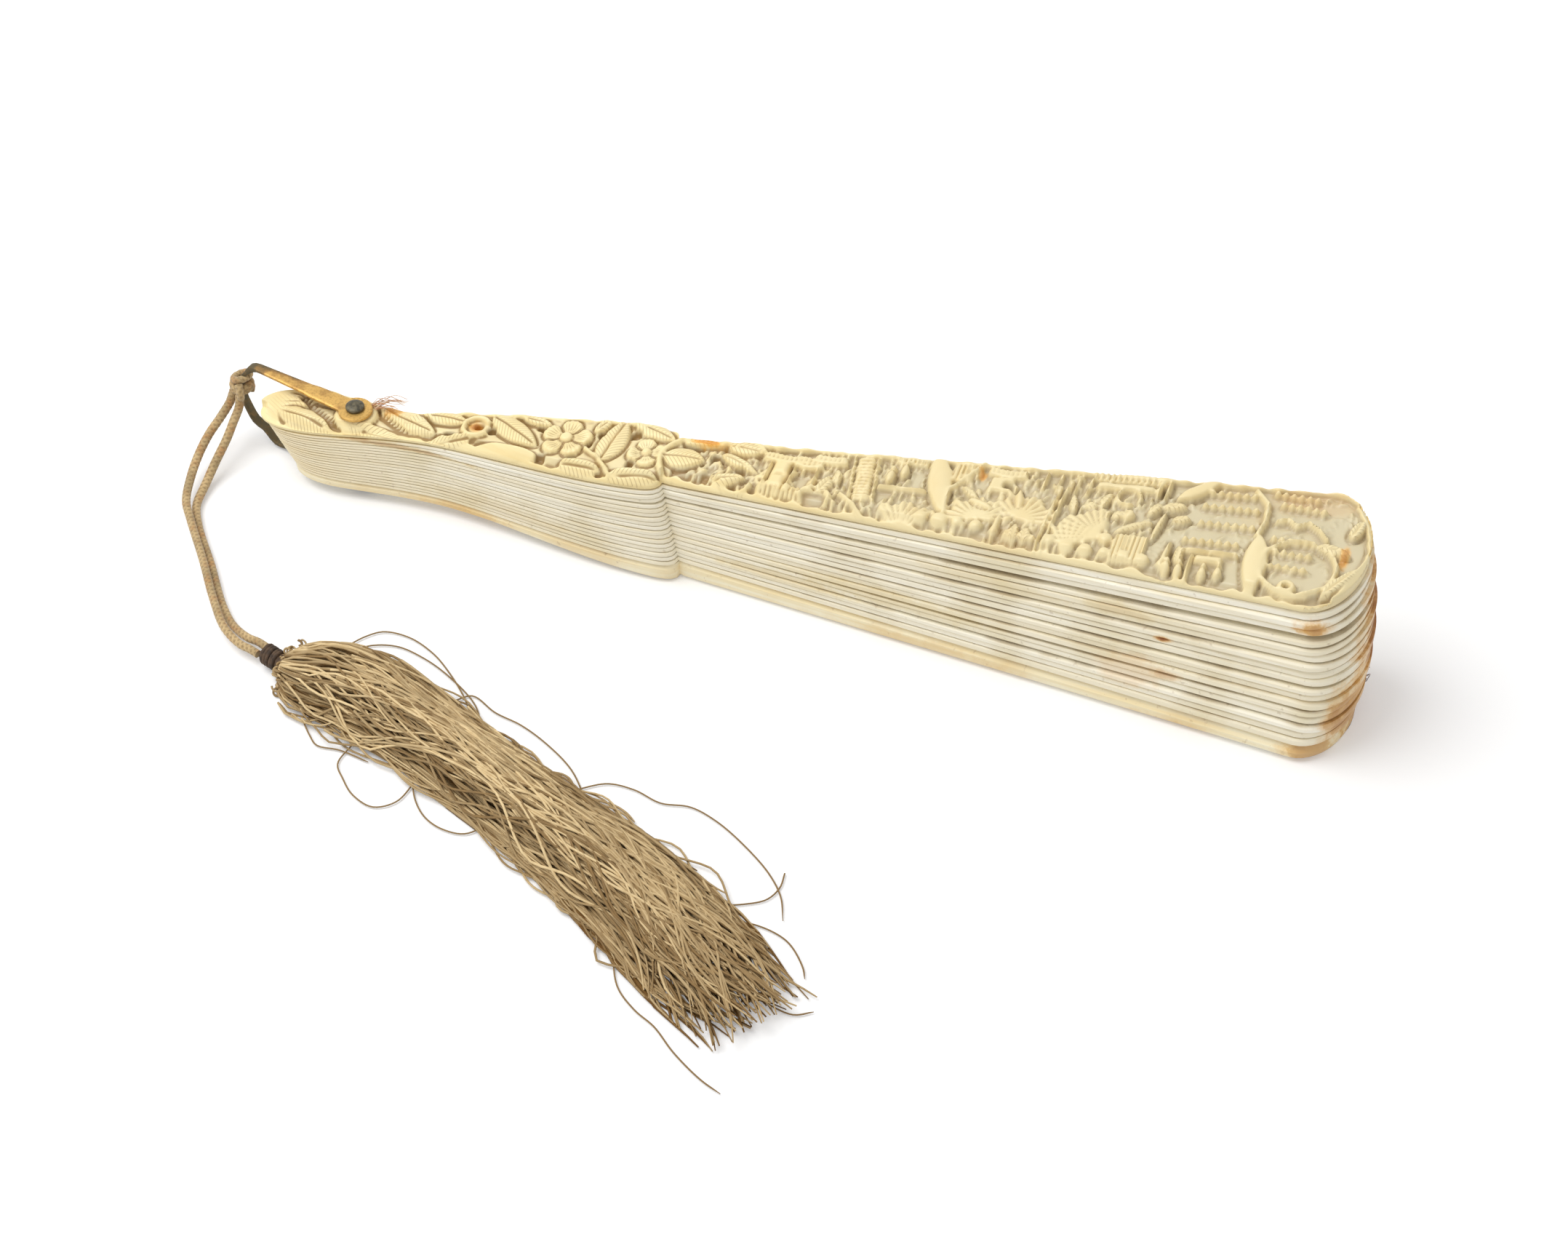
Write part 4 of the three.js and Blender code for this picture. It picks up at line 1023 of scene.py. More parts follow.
# Rivet: a pin of dark metal through all the blades and both eyes of the bail.
# Its ends are hammered over, to a low dome above and a flatter one below.
PIN_RADIUS, RIVET_HEAD = 0.9, 1.65
LOWER_FACE, UPPER_FACE, HEAD_HEIGHT = 0.55, 18.03, 0.8
DOME_RIM, FOOT_RIM = 0.25, 0.15


def lathed(profile, segments=40):
    """Points and faces of a round shape, from its radius and height along a profile."""
    angles = np.linspace(0, 2 * math.pi, segments, endpoint=False)
    points = [(r * math.cos(a), r * math.sin(a), z) for r, z in profile for a in angles]
    return np.array(points), tube_faces(len(profile), segments)


dark_metal, tree, shader = new_surface("dark_rivet_metal", 0.5, 0.6)
cloud = noise(tree, object_place(tree), 1400.0, 4.0)
colour = mixed(tree, ranged(tree, cloud, 0.35, 0.65), rgb(70, 66, 54), rgb(112, 104, 82))
tree.links.new(colour, shader.inputs["Base Color"])
tree.links.new(ranged(tree, cloud, 0.3, 0.7, 0.35, 0.6), shader.inputs["Roughness"])
foot = [(RIVET_HEAD * math.cos(a), FOOT_RIM - FOOT_RIM * math.sin(a)) for a in np.linspace(1.5, 0, 6)]
shank = [(RIVET_HEAD, LOWER_FACE), (PIN_RADIUS, LOWER_FACE)]
shank += [(PIN_RADIUS, UPPER_FACE), (RIVET_HEAD, UPPER_FACE)]
dome = [(RIVET_HEAD * math.cos(a), UPPER_FACE + DOME_RIM + (HEAD_HEIGHT - DOME_RIM) * math.sin(a))
        for a in np.linspace(0, 1.5, 9)]
rivet = new_piece("rivet_pin", *lathed(foot + shank + dome), dark_metal, 50)
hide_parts("rivet")
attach(rivet, "back_guard")


# Bail: a strip of gilt brass bent to a U, with an eye on the rivet at each end.
# Its gilding is bright on the upper arm and tarnished dark on the bow and below.
BAIL_ANGLE = math.radians(167)
EYE_RADIUS, EYE_BORE, EYE_THICK, EYE_CORNER = 3.0, 1.1, 0.85, 0.22
LOWER_ARM, UPPER_ARM = 1.175, 17.405
BOW_RADIUS = 26.2
STRIP_THICK, STRIP_WIDE, STRIP_NARROW = 0.7, 3.6, 1.6
KNUCKLE = (22.9, 16.7)

gilt_brass, tree, shader = new_surface("gilt_brass", 0.5, 0.6)
place = object_place(tree)
cloud = noise(tree, place, 420.0, 5.0, 0.65)
fine = noise(tree, place, 2600.0)
uneven = maths(tree, "ADD", kept_value(tree, "age"), ranged(tree, cloud, 0.3, 0.7, -0.3, 0.3))
colour = coated(
    tree, rgb(214, 172, 96),
    (uneven, 0.1, 0.45, 0, 1, (166, 126, 70)),
    (uneven, 0.4, 0.85, 0, 1, (96, 86, 62)),
    (fine, 0.5, 0.72, 0, 0.45, (128, 96, 48)),
)
tree.links.new(colour, shader.inputs["Base Color"])
tree.links.new(ranged(tree, uneven, 0.1, 0.9, 0.42, 0.66), shader.inputs["Roughness"])
roughened(tree, shader, cloud, 0.0001)


def ways_along(line):
    """The direction of a line at each of its points."""
    way = np.gradient(line, axis=0)
    return way / np.linalg.norm(way, axis=1)[:, None]


UPPER_BEND = [
    (21.4, 17.36), (22.3, 17.1), (23.0, 16.7), (23.6, 16.1), (24.2, 15.4), (24.9, 14.6), (25.6, 13.6),
    (26.1, 12.5)]
LOWER_BEND = [
    (26.3, 11), (26.3, 9.6), (26.0, 8.0), (25.4, 6.4), (24.8, 5.0), (24.2, 4.1), (23.2, 3.55), (22.2, 3.3),
    (21.4, 2.6), (20.6, 1.65), (19.7, 0.95), (18.5, 0.9)]
bail_line = [(2.2 + 1.65 * k, UPPER_ARM) for k in range(12)] + UPPER_BEND
bail_line += LOWER_BEND + [(17.0 - 1.6 * k, LOWER_ARM) for k in range(10)]
bail_line = np.array(bail_line)
bail_way = ways_along(bail_line)
strip_widths = [STRIP_WIDE, 3.1, 2.6, 1.9, STRIP_NARROW]
bail_width = np.interp(bail_line[:, 0], [2, 9, 10.5, 20, BOW_RADIUS], strip_widths)
from_knuckle = np.hypot(bail_line[:, 0] - KNUCKLE[0], bail_line[:, 1] - KNUCKLE[1])
bail_thick = STRIP_THICK + 0.6 * np.exp(-((from_knuckle / 1.4) ** 2))


def squared(value):
    """A cosine or sine of a round section, pushed out towards a square one."""
    return math.copysign(abs(value) ** 0.45, value)


round_angles = np.linspace(0, 2 * math.pi, 16, endpoint=False)
section = [(squared(math.cos(a)), squared(math.sin(a))) for a in round_angles]
out_way = np.array([math.cos(BAIL_ANGLE), math.sin(BAIL_ANGLE)])
side_way = np.array([-math.sin(BAIL_ANGLE), math.cos(BAIL_ANGLE)])
bail_points, bail_age = [], []
for (reach, height), way, width, thick in zip(bail_line, bail_way, bail_width, bail_thick):
    for a, b in section:
        along = reach + 0.5 * thick * b * way[1]
        up = height - 0.5 * thick * b * way[0]
        flat = out_way * along + side_way * 0.5 * width * a
        bail_points.append((flat[0], flat[1], up))
        bright = 0.12 + 0.6 * max(0.15 - a, 0) * float(np.clip((reach - 5) / 9, 0, 1))
        bail_age.append(float(np.interp(reach, [19, 21.8], [bright, 0.95])) if height > 10 else 0.95)
bail_faces = tube_faces(len(bail_line), len(section))
for height, age_here in ((LOWER_ARM, 0.8), (UPPER_ARM, 0.05)):
    low, high = height - EYE_THICK / 2, height + EYE_THICK / 2
    inner = EYE_RADIUS - EYE_CORNER
    eye_profile = [(EYE_BORE, low), (inner, low), (EYE_RADIUS, low + EYE_CORNER),
                   (EYE_RADIUS, high - EYE_CORNER), (inner, high), (EYE_BORE, high)]
    points, faces = lathed(eye_profile + eye_profile[:1], 48)
    bail_faces += [tuple(len(bail_points) + k for k in face) for face in faces[:-2]]
    bail_points += points.tolist()
    bail_age += [age_here] * len(points)
bail = new_piece("bail_strip", bail_points, bail_faces, gilt_brass, 35)
point_values(bail, "age", bail_age)
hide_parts("bail")
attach(bail, "bail")


# Cord: one fine-braided tan cord, doubled, which runs from the knot on the bow to the tassel's binding.
# The knot has two turns round the bow, a loop over the top and a bight in front.
CORD, WORN_THIN = 1.6, 0.88
STRAND_A = [
    (-26.9, 5.0, 10.4), (-27.2, 4.7, 9.4), (-27.5, 4.0, 8.3), (-28.1, 1.0, 7.0), (-29.0, -2.2, 5.5),
    (-29.2, -6.4, 4.1), (-28.6, -11.0, 3.0), (-26.9, -16.4, 2.5), (-24.0, -20.5, 2.5), (-17.5, -28.8, 2.5),
    (-11.4, -37.0, 2.5), (-6.6, -42.5, 2.4), (-2.6, -44.9, 2.15), (-0.6, -45.4, 2.15), (1.3, -46.05, 2.15)]
STRAND_B = [
    (-25.4, 4.3, 10.4), (-25.3, 3.8, 9.4), (-25.3, 3.1, 8.3), (-25.3, 0.3, 7.0), (-25.5, -2.2, 5.4),
    (-26.0, -5.9, 3.4), (-26.2, -10.4, 1.5), (-25.6, -15.4, 0.95), (-23.1, -19.8, 0.9), (-16.5, -28.1, 0.9),
    (-10.3, -36.3, 0.9), (-6.2, -40.4, 1.1), (-2.2, -42.8, 1.8), (0.1, -43.45, 2.15), (2.0, -44.15, 2.15)]


def run_along(line):
    """The distance along a line at each of its points."""
    return np.concatenate([[0], np.cumsum(np.linalg.norm(np.diff(line, axis=0), axis=1))])


def smooth_route(points, step):
    """A smooth line through points, evenly stepped; its corners are eased by the distances between them."""
    given = np.array(points, float)
    ends = np.concatenate([[2 * given[0] - given[1]], given, [2 * given[-1] - given[-2]]])
    line = []
    for p0, p1, p2, p3 in zip(ends, ends[1:], ends[2:], ends[3:]):
        t0 = 0.0
        t1 = t0 + np.linalg.norm(p1 - p0) ** 0.5
        t2 = t1 + np.linalg.norm(p2 - p1) ** 0.5
        t3 = t2 + np.linalg.norm(p3 - p2) ** 0.5
        t = np.linspace(t1, t2, 24, endpoint=False)[:, None]
        a1 = (t1 - t) / (t1 - t0) * p0 + (t - t0) / (t1 - t0) * p1
        a2 = (t2 - t) / (t2 - t1) * p1 + (t - t1) / (t2 - t1) * p2
        a3 = (t3 - t) / (t3 - t2) * p2 + (t - t2) / (t3 - t2) * p3
        b1 = (t2 - t) / (t2 - t0) * a1 + (t - t0) / (t2 - t0) * a2
        b2 = (t3 - t) / (t3 - t1) * a2 + (t - t1) / (t3 - t1) * a3
        line.append((t2 - t) / (t2 - t1) * b1 + (t - t1) / (t2 - t1) * b2)
    line = np.concatenate(line + [given[-1:]])
    run = run_along(line)
    at = np.linspace(0, run[-1], max(int(run[-1] / step), 4))
    return np.stack([np.interp(at, run, line[:, k]) for k in range(3)], 1)


def braided_tube(line, radius, sides=16, braid=0.05, plait=0.95):
    """Points, faces and a yarn-crest value of a cord along a line, one on the yarns and nought between them,
    for the painted shade between yarns; two sets of yarns cross on its surface.
    """
    radii = np.broadcast_to(radius, len(line))
    way = ways_along(line)
    side = np.cross(way[0], (0.31, 0.22, 0.93))
    run = run_along(line)
    points, yarn_crest = [], []
    for centre, forward, distance, here in zip(line, way, run, radii):
        side = side - forward * side.dot(forward)
        side /= np.linalg.norm(side)
        up = np.cross(forward, side)
        for angle in np.linspace(0, 2 * math.pi, sides, endpoint=False):
            one = math.cos(3 * angle + 2 * math.pi * distance / plait)
            other = math.cos(3 * angle - 2 * math.pi * distance / plait)
            yarn = max(one, other)
            r = here * (1 - braid + braid * 1.4 * yarn)
            points.append(centre + r * (math.cos(angle) * side + math.sin(angle) * up))
            yarn_crest.append(0.5 + 0.5 * yarn)
    return np.array(points), tube_faces(len(line), sides), yarn_crest


def braided_coils(coils, sides=16, braid=0.05, plait=0.95):
    """Points, faces and yarn-crest values of several cords in one piece, each with its line and its radius.
    """
    points, faces, yarn_crest = [], [], []
    for line, radius in coils:
        more_points, more_faces, more_yarn_crest = braided_tube(line, radius, sides, braid, plait)
        faces += [tuple(len(points) + k for k in face) for face in more_faces]
        points += more_points.tolist()
        yarn_crest += more_yarn_crest
    return points, faces, yarn_crest


tan_cord, tree, shader = new_surface("tan_braided_cord", 0.85)
place = object_place(tree)
cloud, rusty = noise(tree, place, 260.0, 3.0), noise(tree, place, 520.0)
fluff = noise(tree, place, 3600.0, 3.0)
colour = coated(
    tree, rgb(200, 172, 124),
    (cloud, 0.35, 0.65, 0, 1, (160, 138, 98)),
    (rusty, 0.5, 0.68, 0, 0.65, (188, 136, 80)),
    # painted shade: the grooves between the yarns are coloured darker
    (kept_value(tree, "yarn_crest"), 0.3, 0.9, 0.6, 0, (112, 86, 52)),
    (fluff, 0.45, 0.7, 0, 0.25, (222, 196, 150)),
)
tree.links.new(colour, shader.inputs["Base Color"])
shader.inputs["Sheen Weight"].default_value = 0.2
roughened(tree, shader, fluff, 0.0001)

KNOT_RADIUS, KNOT_FOOT, KNOT_RISE = 1.6, 10.55, 1.65
LOOP_RADIUS, LOOP_HEIGHT = 1.45, 13.4
knot_place = out_way * BOW_RADIUS
knot_x, knot_y = knot_place
turns = np.linspace(0, 2 * math.pi * 2, 80)
climb = KNOT_FOOT + KNOT_RISE * turns / turns[-1] + 0.12 * np.sin(turns)
loop = np.linspace(-0.3, 2 * math.pi - 0.3, 44)
over_top = LOOP_HEIGHT + 0.6 * np.cos(loop + 0.4)
front_way = np.array([0.55, -0.83])
bight = [(1.6, 10.3), (2.15, 10.9), (2.3, 11.8), (2.1, 12.7), (1.5, 13.3)]
coils = [
    np.stack([knot_x + KNOT_RADIUS * np.cos(turns), knot_y + KNOT_RADIUS * np.sin(turns), climb], 1),
    np.stack([knot_x + 0.2 + LOOP_RADIUS * np.cos(loop), knot_y + LOOP_RADIUS * np.sin(loop), over_top], 1),
    smooth_route([(*(knot_place + front_way * r + side_way * 0.9), z) for r, z in bight], 0.2),
]
knot_points, knot_faces, knot_yarn_crest = braided_coils([(line, 0.42 * CORD) for line in coils])
knot = new_piece("cord_hitch_knot", knot_points, knot_faces, tan_cord, 60)
point_values(knot, "yarn_crest", knot_yarn_crest)
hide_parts("hitch_knot")
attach(knot, "tassel_and_cord")


# Binding: a whipping of dark thread, wound five times round the cord's end.
# It ties the doubled cord to the fold of the tassel.
BINDING_CENTRE, BINDING_WAY = np.array((4.1, -46.0, 2.15)), math.radians(-20)
BINDING_TURNS, BINDING_RADIUS, BINDING_THREAD = 5, 1.5, 0.4
WRAP_START, WRAP_RUN, CORE_START, CORE_END = -1.6, 3.3, -1.9, 2.9
dark_thread, tree, shader = new_surface("dark_binding_thread", 0.8)
cloud = noise(tree, object_place(tree), 900.0, 4.0)
colour = mixed(tree, ranged(tree, cloud, 0.35, 0.7), rgb(52, 38, 26), rgb(104, 80, 58))
tree.links.new(colour, shader.inputs["Base Color"])
roughened(tree, shader, cloud, 0.0001)
binding_way = np.array((math.cos(BINDING_WAY), math.sin(BINDING_WAY), 0))
binding_side = np.array((-math.sin(BINDING_WAY), math.cos(BINDING_WAY), 0))
wrap = np.linspace(0, 2 * math.pi * BINDING_TURNS, 26 * BINDING_TURNS)
along = WRAP_START + WRAP_RUN * wrap / wrap[-1] + 0.12 * np.sin(wrap * 0.37)
wrap_line = BINDING_CENTRE + along[:, None] * binding_way
wrap_line = wrap_line + BINDING_RADIUS * np.cos(wrap)[:, None] * binding_side
wrap_line = wrap_line + BINDING_RADIUS * np.sin(wrap)[:, None] * np.array((0, 0, 1))
core_line = BINDING_CENTRE + np.linspace(CORE_START, CORE_END, 8)[:, None] * binding_way
whipping = [(wrap_line, BINDING_THREAD), (core_line, BINDING_RADIUS)]
binding_points, binding_faces, _ = braided_coils(whipping, 12, 0.03, 0.7)
binding = new_piece("tassel_whipping", binding_points, binding_faces, dark_thread, 60)
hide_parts("tassel_binding")
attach(binding, "tassel_and_cord")


# Strands: the two halves of the cord lie side by side from the knot to the binding.
# They are of the same braid as the knot, and pressed a little thinner in their lower half.
for name, route, on_it in (
    ("cord_strand_a", STRAND_A, [knot, binding]),
    ("cord_strand_b", STRAND_B, []),
):
    line = smooth_route(route, 0.22)
    thinned = np.interp(np.linspace(0, 1, len(line)), [0.25, 0.5, 1], [1, WORN_THIN, WORN_THIN])
    points, faces, yarn_crest_here = braided_tube(line, 0.5 * CORD * thinned)
    strand = new_piece(name + "_braid", points, faces, tan_cord, 60)
    point_values(strand, "yarn_crest", yarn_crest_here)
    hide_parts(name)
    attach(strand, "tassel_and_cord")


# Tassel: some hundreds of loose tan threads, folded over the cord, bound below the fold and spread out.
# They lie on the table in locks with dark gaps; the low threads in the gaps are painted dark as shade, and
# the other threads darker the lower they lie. A few cross over the top, and the ends are ragged.
TASSEL_LINE = [
    (6.9, -47.0, 3.4, 4.6), (8.2, -47.2, 5.2, 5.8), (11, -47.5, 7, 6.8), (15.8, -47.8, 8.6, 7.5),
    (23.5, -49.2, 9.3, 7.8), (39.4, -55.2, 7.9, 7.2), (55.8, -62.4, 7.8, 6.6), (71.5, -69.4, 9.2, 6),
    (82.5, -75.6, 10.4, 5.4), (94, -83.2, 10.2, 4.6), (103, -89.6, 9.0, 3.8)]
THREADS, LOCKS, CROSSING, LOOPING, HEAD_CURLS = 360, 26, 150, 56, 44
THREAD_POINTS, FOLD_POINTS = 42, 4
THREAD_RADIUS, TASSEL_LENGTH = 0.22, 118

thread_bundle = bpy.data.node_groups.new("thread_bundle", "GeometryNodeTree")
face = thread_bundle.interface
face.new_socket("Lines", in_out="INPUT", socket_type="NodeSocketGeometry")
sides_socket = face.new_socket("Sides", in_out="INPUT", socket_type="NodeSocketInt")
finish_socket = face.new_socket("Finish", in_out="INPUT", socket_type="NodeSocketMaterial")
face.new_socket("Threads", in_out="OUTPUT", socket_type="NodeSocketGeometry")
given = thread_bundle.nodes.new("NodeGroupInput")
out = thread_bundle.nodes.new("NodeGroupOutput")
thickness = shader_node(thread_bundle, "GeometryNodeInputNamedAttribute", {
    "Name": "thickness"}, data_type="FLOAT")
lines = shader_node(thread_bundle, "GeometryNodeMeshToCurve", {"Mesh": given.outputs["Lines"]})
round_section = shader_node(thread_bundle, "GeometryNodeCurvePrimitiveCircle", {
    "Resolution": given.outputs["Sides"], "Radius": 1.0})
swept = shader_node(thread_bundle, "GeometryNodeCurveToMesh", {
    "Curve": lines.outputs["Curve"], "Profile Curve": round_section.outputs["Curve"],
    "Scale": thickness.outputs["Attribute"], "Fill Caps": True})
real = shader_node(thread_bundle, "GeometryNodeRealizeInstances", {"Geometry": swept.outputs["Mesh"]})
dyed = shader_node(thread_bundle, "GeometryNodeSetMaterial", {
    "Geometry": real.outputs["Geometry"], "Material": given.outputs["Finish"]})
thread_bundle.links.new(dyed.outputs["Geometry"], out.inputs["Threads"])


def threads(name, spun, sides, material, body):
    """A piece of many threads; each has its line of points, in millimetres, its radius and its tone."""
    mesh = bpy.data.meshes.new(name)
    points, edges, thick, tone = [], [], [], []
    for line, radius, shade in spun:
        start = len(points)
        points += (np.asarray(line) * MM).tolist()
        edges += [(start + k, start + k + 1) for k in range(len(line) - 1)]
        taper = np.minimum(np.linspace(0, 9, len(line))[::-1] + 0.5, 1)
        thick += (radius * MM * taper).tolist()
        tone += [shade] * len(line)
    mesh.from_pydata(points, edges, [])
    made = bpy.data.objects.new(name, mesh)
    scene.collection.objects.link(made)
    point_values(made, "thickness", thick)
    point_values(made, "tone", tone)
    spinner = made.modifiers.new("threads", "NODES")
    spinner.node_group = thread_bundle
    spinner[sides_socket.identifier] = sides
    spinner[finish_socket.identifier] = material
    evaluated = made.evaluated_get(bpy.context.evaluated_depsgraph_get())
    solid = bpy.data.meshes.new_from_object(evaluated)
    made.modifiers.remove(spinner)
    made.data = solid
    solid.polygons.foreach_set("use_smooth", [True] * len(solid.polygons))
    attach(made, body)
    return made


tassel_thread, tree, shader = new_surface("tan_tassel_thread", 0.7)
place = object_place(tree)
fine = noise(tree, place, 700.0, 3.0)
# painted shade: a thread's tone takes it from dark to light; the low threads of the tassel have the darkest
# tone, as shade
colour = coated(
    tree, rgb(98, 66, 22),
    (kept_value(tree, "tone"), 0, 1, 0, 1, (233, 208, 160)),
    (fine, 0.4, 0.7, 0, 0.3, (160, 126, 74)),
    (along_fan(tree, place), 0.06, 0.105, 0, 0.35, (128, 96, 54)),
)
tree.links.new(colour, shader.inputs["Base Color"])
shader.inputs["Specular IOR Level"].default_value = 0.2
roughened(tree, shader, fine, 0.00005)

tassel_route = smooth_route([(x, y, 0) for x, y, _, _ in TASSEL_LINE], 0.5)
tassel_run = run_along(tassel_route)
tassel_run /= tassel_run[-1]
station_share = []
for x, y, _, _ in TASSEL_LINE:
    away = np.hypot(*(tassel_route[:, :2] - (x, y)).T)
    station_share.append(tassel_run[np.argmin(away)])
tassel_way = ways_along(tassel_route)


def in_tassel(share, across, height):
    """The place at a share of the tassel's length, from -1 to 1 across it and from 0 to 1 in height."""
    beyond = np.maximum(share - 1, 0) * TASSEL_LENGTH
    centre = np.stack([np.interp(share, tassel_run, tassel_route[:, k]) for k in (0, 1)], 1)
    way = np.stack([np.interp(share, tassel_run, tassel_way[:, k]) for k in (0, 1)], 1)
    centre = centre + way * beyond[:, None]
    half = np.interp(share, station_share, [row[2] for row in TASSEL_LINE]) - 0.3
    tall = np.interp(share, station_share, [row[3] for row in TASSEL_LINE])
    place_across = np.stack([-way[:, 1], way[:, 0]], 1) * (half * across)[:, None]
    crown = np.sqrt(np.clip(1 - across**2, 0.03, 1))
    z = 0.25 + (tall - 0.4) * crown * height
    return np.concatenate([centre + place_across, z[:, None]], 1)


chance = np.random.default_rng(23)
lock_across = np.linspace(-0.9, 0.9, LOCKS) + chance.uniform(-0.05, 0.05, LOCKS)
lock_across = lock_across[chance.permutation(LOCKS)]
lock_height = chance.uniform(0.25, 1.0, LOCKS)
lock_phase = chance.uniform(0, 2 * math.pi, (LOCKS, 3))
lock_sway = chance.uniform(0.06, 0.26, LOCKS)
lock_turns = chance.uniform(0.7, 1.5, LOCKS)


def wave(share, least, most):
    """A sway of its own along a thread, with between so many turns from end to end."""
    return np.sin(2 * math.pi * chance.uniform(least, most) * share + chance.uniform(0, 2 * math.pi))


def end_curl(share):
    """The turn aside of a thread's free end."""
    return chance.uniform(-0.55, 0.55) * np.clip((share - share[-1] + 0.14) / 0.14, 0, 1) ** 2


def folded(share, across, height):
    """A thread that comes up over the tassel's blunt head and then runs along it."""
    fold_share = np.array([0.014, 0.003, -0.002, 0.004])
    fold_height = np.array([0.1, 0.35, 0.65, 0.9]) * height[0]
    fold_across = np.full(FOLD_POINTS, across[0])
    return in_tassel(np.concatenate([fold_share, share]), np.concatenate([fold_across, across]),
                     np.concatenate([fold_height, height]))


spun = []
for k in range(THREADS):
    lock = k % LOCKS
    low_in_shade = k % 3 == 0
    end = chance.uniform(0.88, 1.03) if chance.random() < 0.7 else chance.uniform(0.7, 0.92)
    share = np.linspace(chance.uniform(0.015, 0.03), end, THREAD_POINTS)
    sway = lock_sway[lock] * np.sin(2 * math.pi * lock_turns[lock] * share + lock_phase[lock, 0])
    own = chance.uniform(-0.14, 0.14) + 0.1 * wave(share, 0.8, 2.2)
    own = own + 0.05 * wave(share, 2.5, 5) + 0.015 * wave(share, 8, 14)
    across = np.clip(lock_across[lock] + sway + own + end_curl(share), -1.06, 1.06)
    level = chance.uniform(0.05, 0.4) if low_in_shade else lock_height[lock] + chance.uniform(-0.2, 0.1)
    lift = 0.16 * np.sin(4 * math.pi * lock_turns[lock] * share + lock_phase[lock, 2])
    height = np.clip(level + lift + 0.04 * wave(share, 2, 4), 0.03, 1.08)
    radius = THREAD_RADIUS * chance.uniform(0.8, 1.2)
    # painted shade: low threads are painted dark, and the others darker the lower they lie
    tone = 0.0 if low_in_shade else chance.uniform(0.15, 1.0) * (0.4 + 0.6 * min(level, 1))
    spun.append((folded(share, across, height), radius, tone))
tassel = threads("tassel_threads", spun, 5, tassel_thread, "tassel_and_cord")
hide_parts("tassel")

spun = []
for _ in range(CROSSING):
    share = np.linspace(chance.uniform(0.015, 0.3), chance.uniform(0.8, 1.05), THREAD_POINTS)
    start, finish = chance.uniform(-0.85, 0.85, 2)
    passed = (share - share[0]) / (share[-1] - share[0])
    crossing = start + (0.35 * start + 0.65 * finish - start) * passed**2 * (3 - 2 * passed)
    across = crossing + 0.24 * wave(share, 1, 2.8) + 0.06 * wave(share, 4, 7) + end_curl(share)
    height = 1.0 + 0.13 * wave(share, 1, 3)
    line = folded(share, across, height) if share[0] < 0.1 else in_tassel(share, across, height)
    spun.append((line, THREAD_RADIUS * chance.uniform(0.8, 1.15), chance.uniform(0.15, 1.0)))
for _ in range(HEAD_CURLS):
    at = [np.array([chance.uniform(low, high)]) for low, high in ((0.0, 0.02), (-1, 1), (0.3, 0.95))]
    centre = in_tassel(*at)[0]
    turn = np.linspace(0, chance.uniform(3, 7), 16) + chance.uniform(0, 6.28)
    size = chance.uniform(0.5, 1.1)
    tilt = chance.uniform(-0.8, 0.8)
    curl = np.stack([-0.5 + size * np.cos(turn), size * np.sin(turn) * math.cos(tilt) + 0.12 * turn,
                     size * np.sin(turn) * math.sin(tilt)], 1)
    line = np.maximum(centre + curl, (-99, -999, 0.3))
    spun.append((line, THREAD_RADIUS * chance.uniform(0.8, 1.1), chance.uniform(0.1, 0.6)))
for k in range(LOOPING):
    share = np.linspace(chance.uniform(0.02, 0.4), chance.uniform(0.6, 1.0), THREAD_POINTS)
    bulge = chance.uniform(share[0], share[-1])
    side = 1 if k % 2 else -1
    bow, spread = chance.uniform(0.1, 0.35), chance.uniform(0.03, 0.08)
    across = side * (0.9 + bow * np.exp(-(((share - bulge) / spread) ** 2)))
    across = across + 0.05 * wave(share, 1, 3)
    line = in_tassel(share, across, np.full(len(share), chance.uniform(0.2, 0.9)))
    spun.append((line, THREAD_RADIUS * chance.uniform(0.7, 1.0), chance.uniform(0.2, 0.8)))
threads("tassel_crossing_threads", spun, 5, tassel_thread, "tassel_and_cord")


# Stray threads: single threads that have slipped out of the tassel.
# They lie curled on the table on both sides of it, where the photograph shows them.
STRAY_RADIUS, STRAY_HEIGHT, STRAY_TONE = 0.14, 0.35, 0.22
STRAYS = [
    [(13.7, -38.2), (15.9, -35), (18.3, -33.1), (22.9, -33), (28.1, -35.1), (32.2, -38.1), (37.5, -43.2),
     (41, -48)],
    [(14, -41), (16.9, -37.2), (21.6, -35.6), (26.9, -36.6), (32.8, -39.2), (39.7, -44), (43, -49)],
    [(36, -44), (38.3, -42.1), (43.4, -44.4), (48.6, -45.7), (54.4, -48.4), (60, -52.2), (65, -58)],
    [(60, -58), (63, -55.4), (66.7, -53.1), (71.2, -53), (76.2, -54.3), (81, -53.6), (86, -55.1),
     (92.4, -58.8), (97.6, -62.8), (100.8, -66.6), (102.6, -70.9)],
    [(99.8, -61.8), (100, -64.8), (98.8, -67.7), (95.7, -69.7), (91, -71.5)],
    [(24, -58), (23.4, -62.8), (25.6, -65.6), (28.6, -68.3), (32.7, -69.6), (35.8, -67.4), (37, -62)],
    [(35.5, -60), (36.6, -62.7), (38.8, -66.4), (41.7, -69.1), (45.2, -70.4), (49, -70.1), (52.5, -66)],
    [(79.4, -84), (82.9, -90.9), (86.9, -94.2), (90.8, -96.2), (95.3, -99.8), (100.7, -103.1),
     (104.4, -104.6)],
    [(94, -74), (98.4, -73), (104.3, -74.4), (108.4, -78.5), (109.4, -80.5)],
    [(98, -85), (104.8, -86.6), (109.9, -87.5), (112.7, -86)],
    [(14, -56), (16.5, -58.7), (18.5, -60.3), (22.5, -60.1), (28, -61)],
]
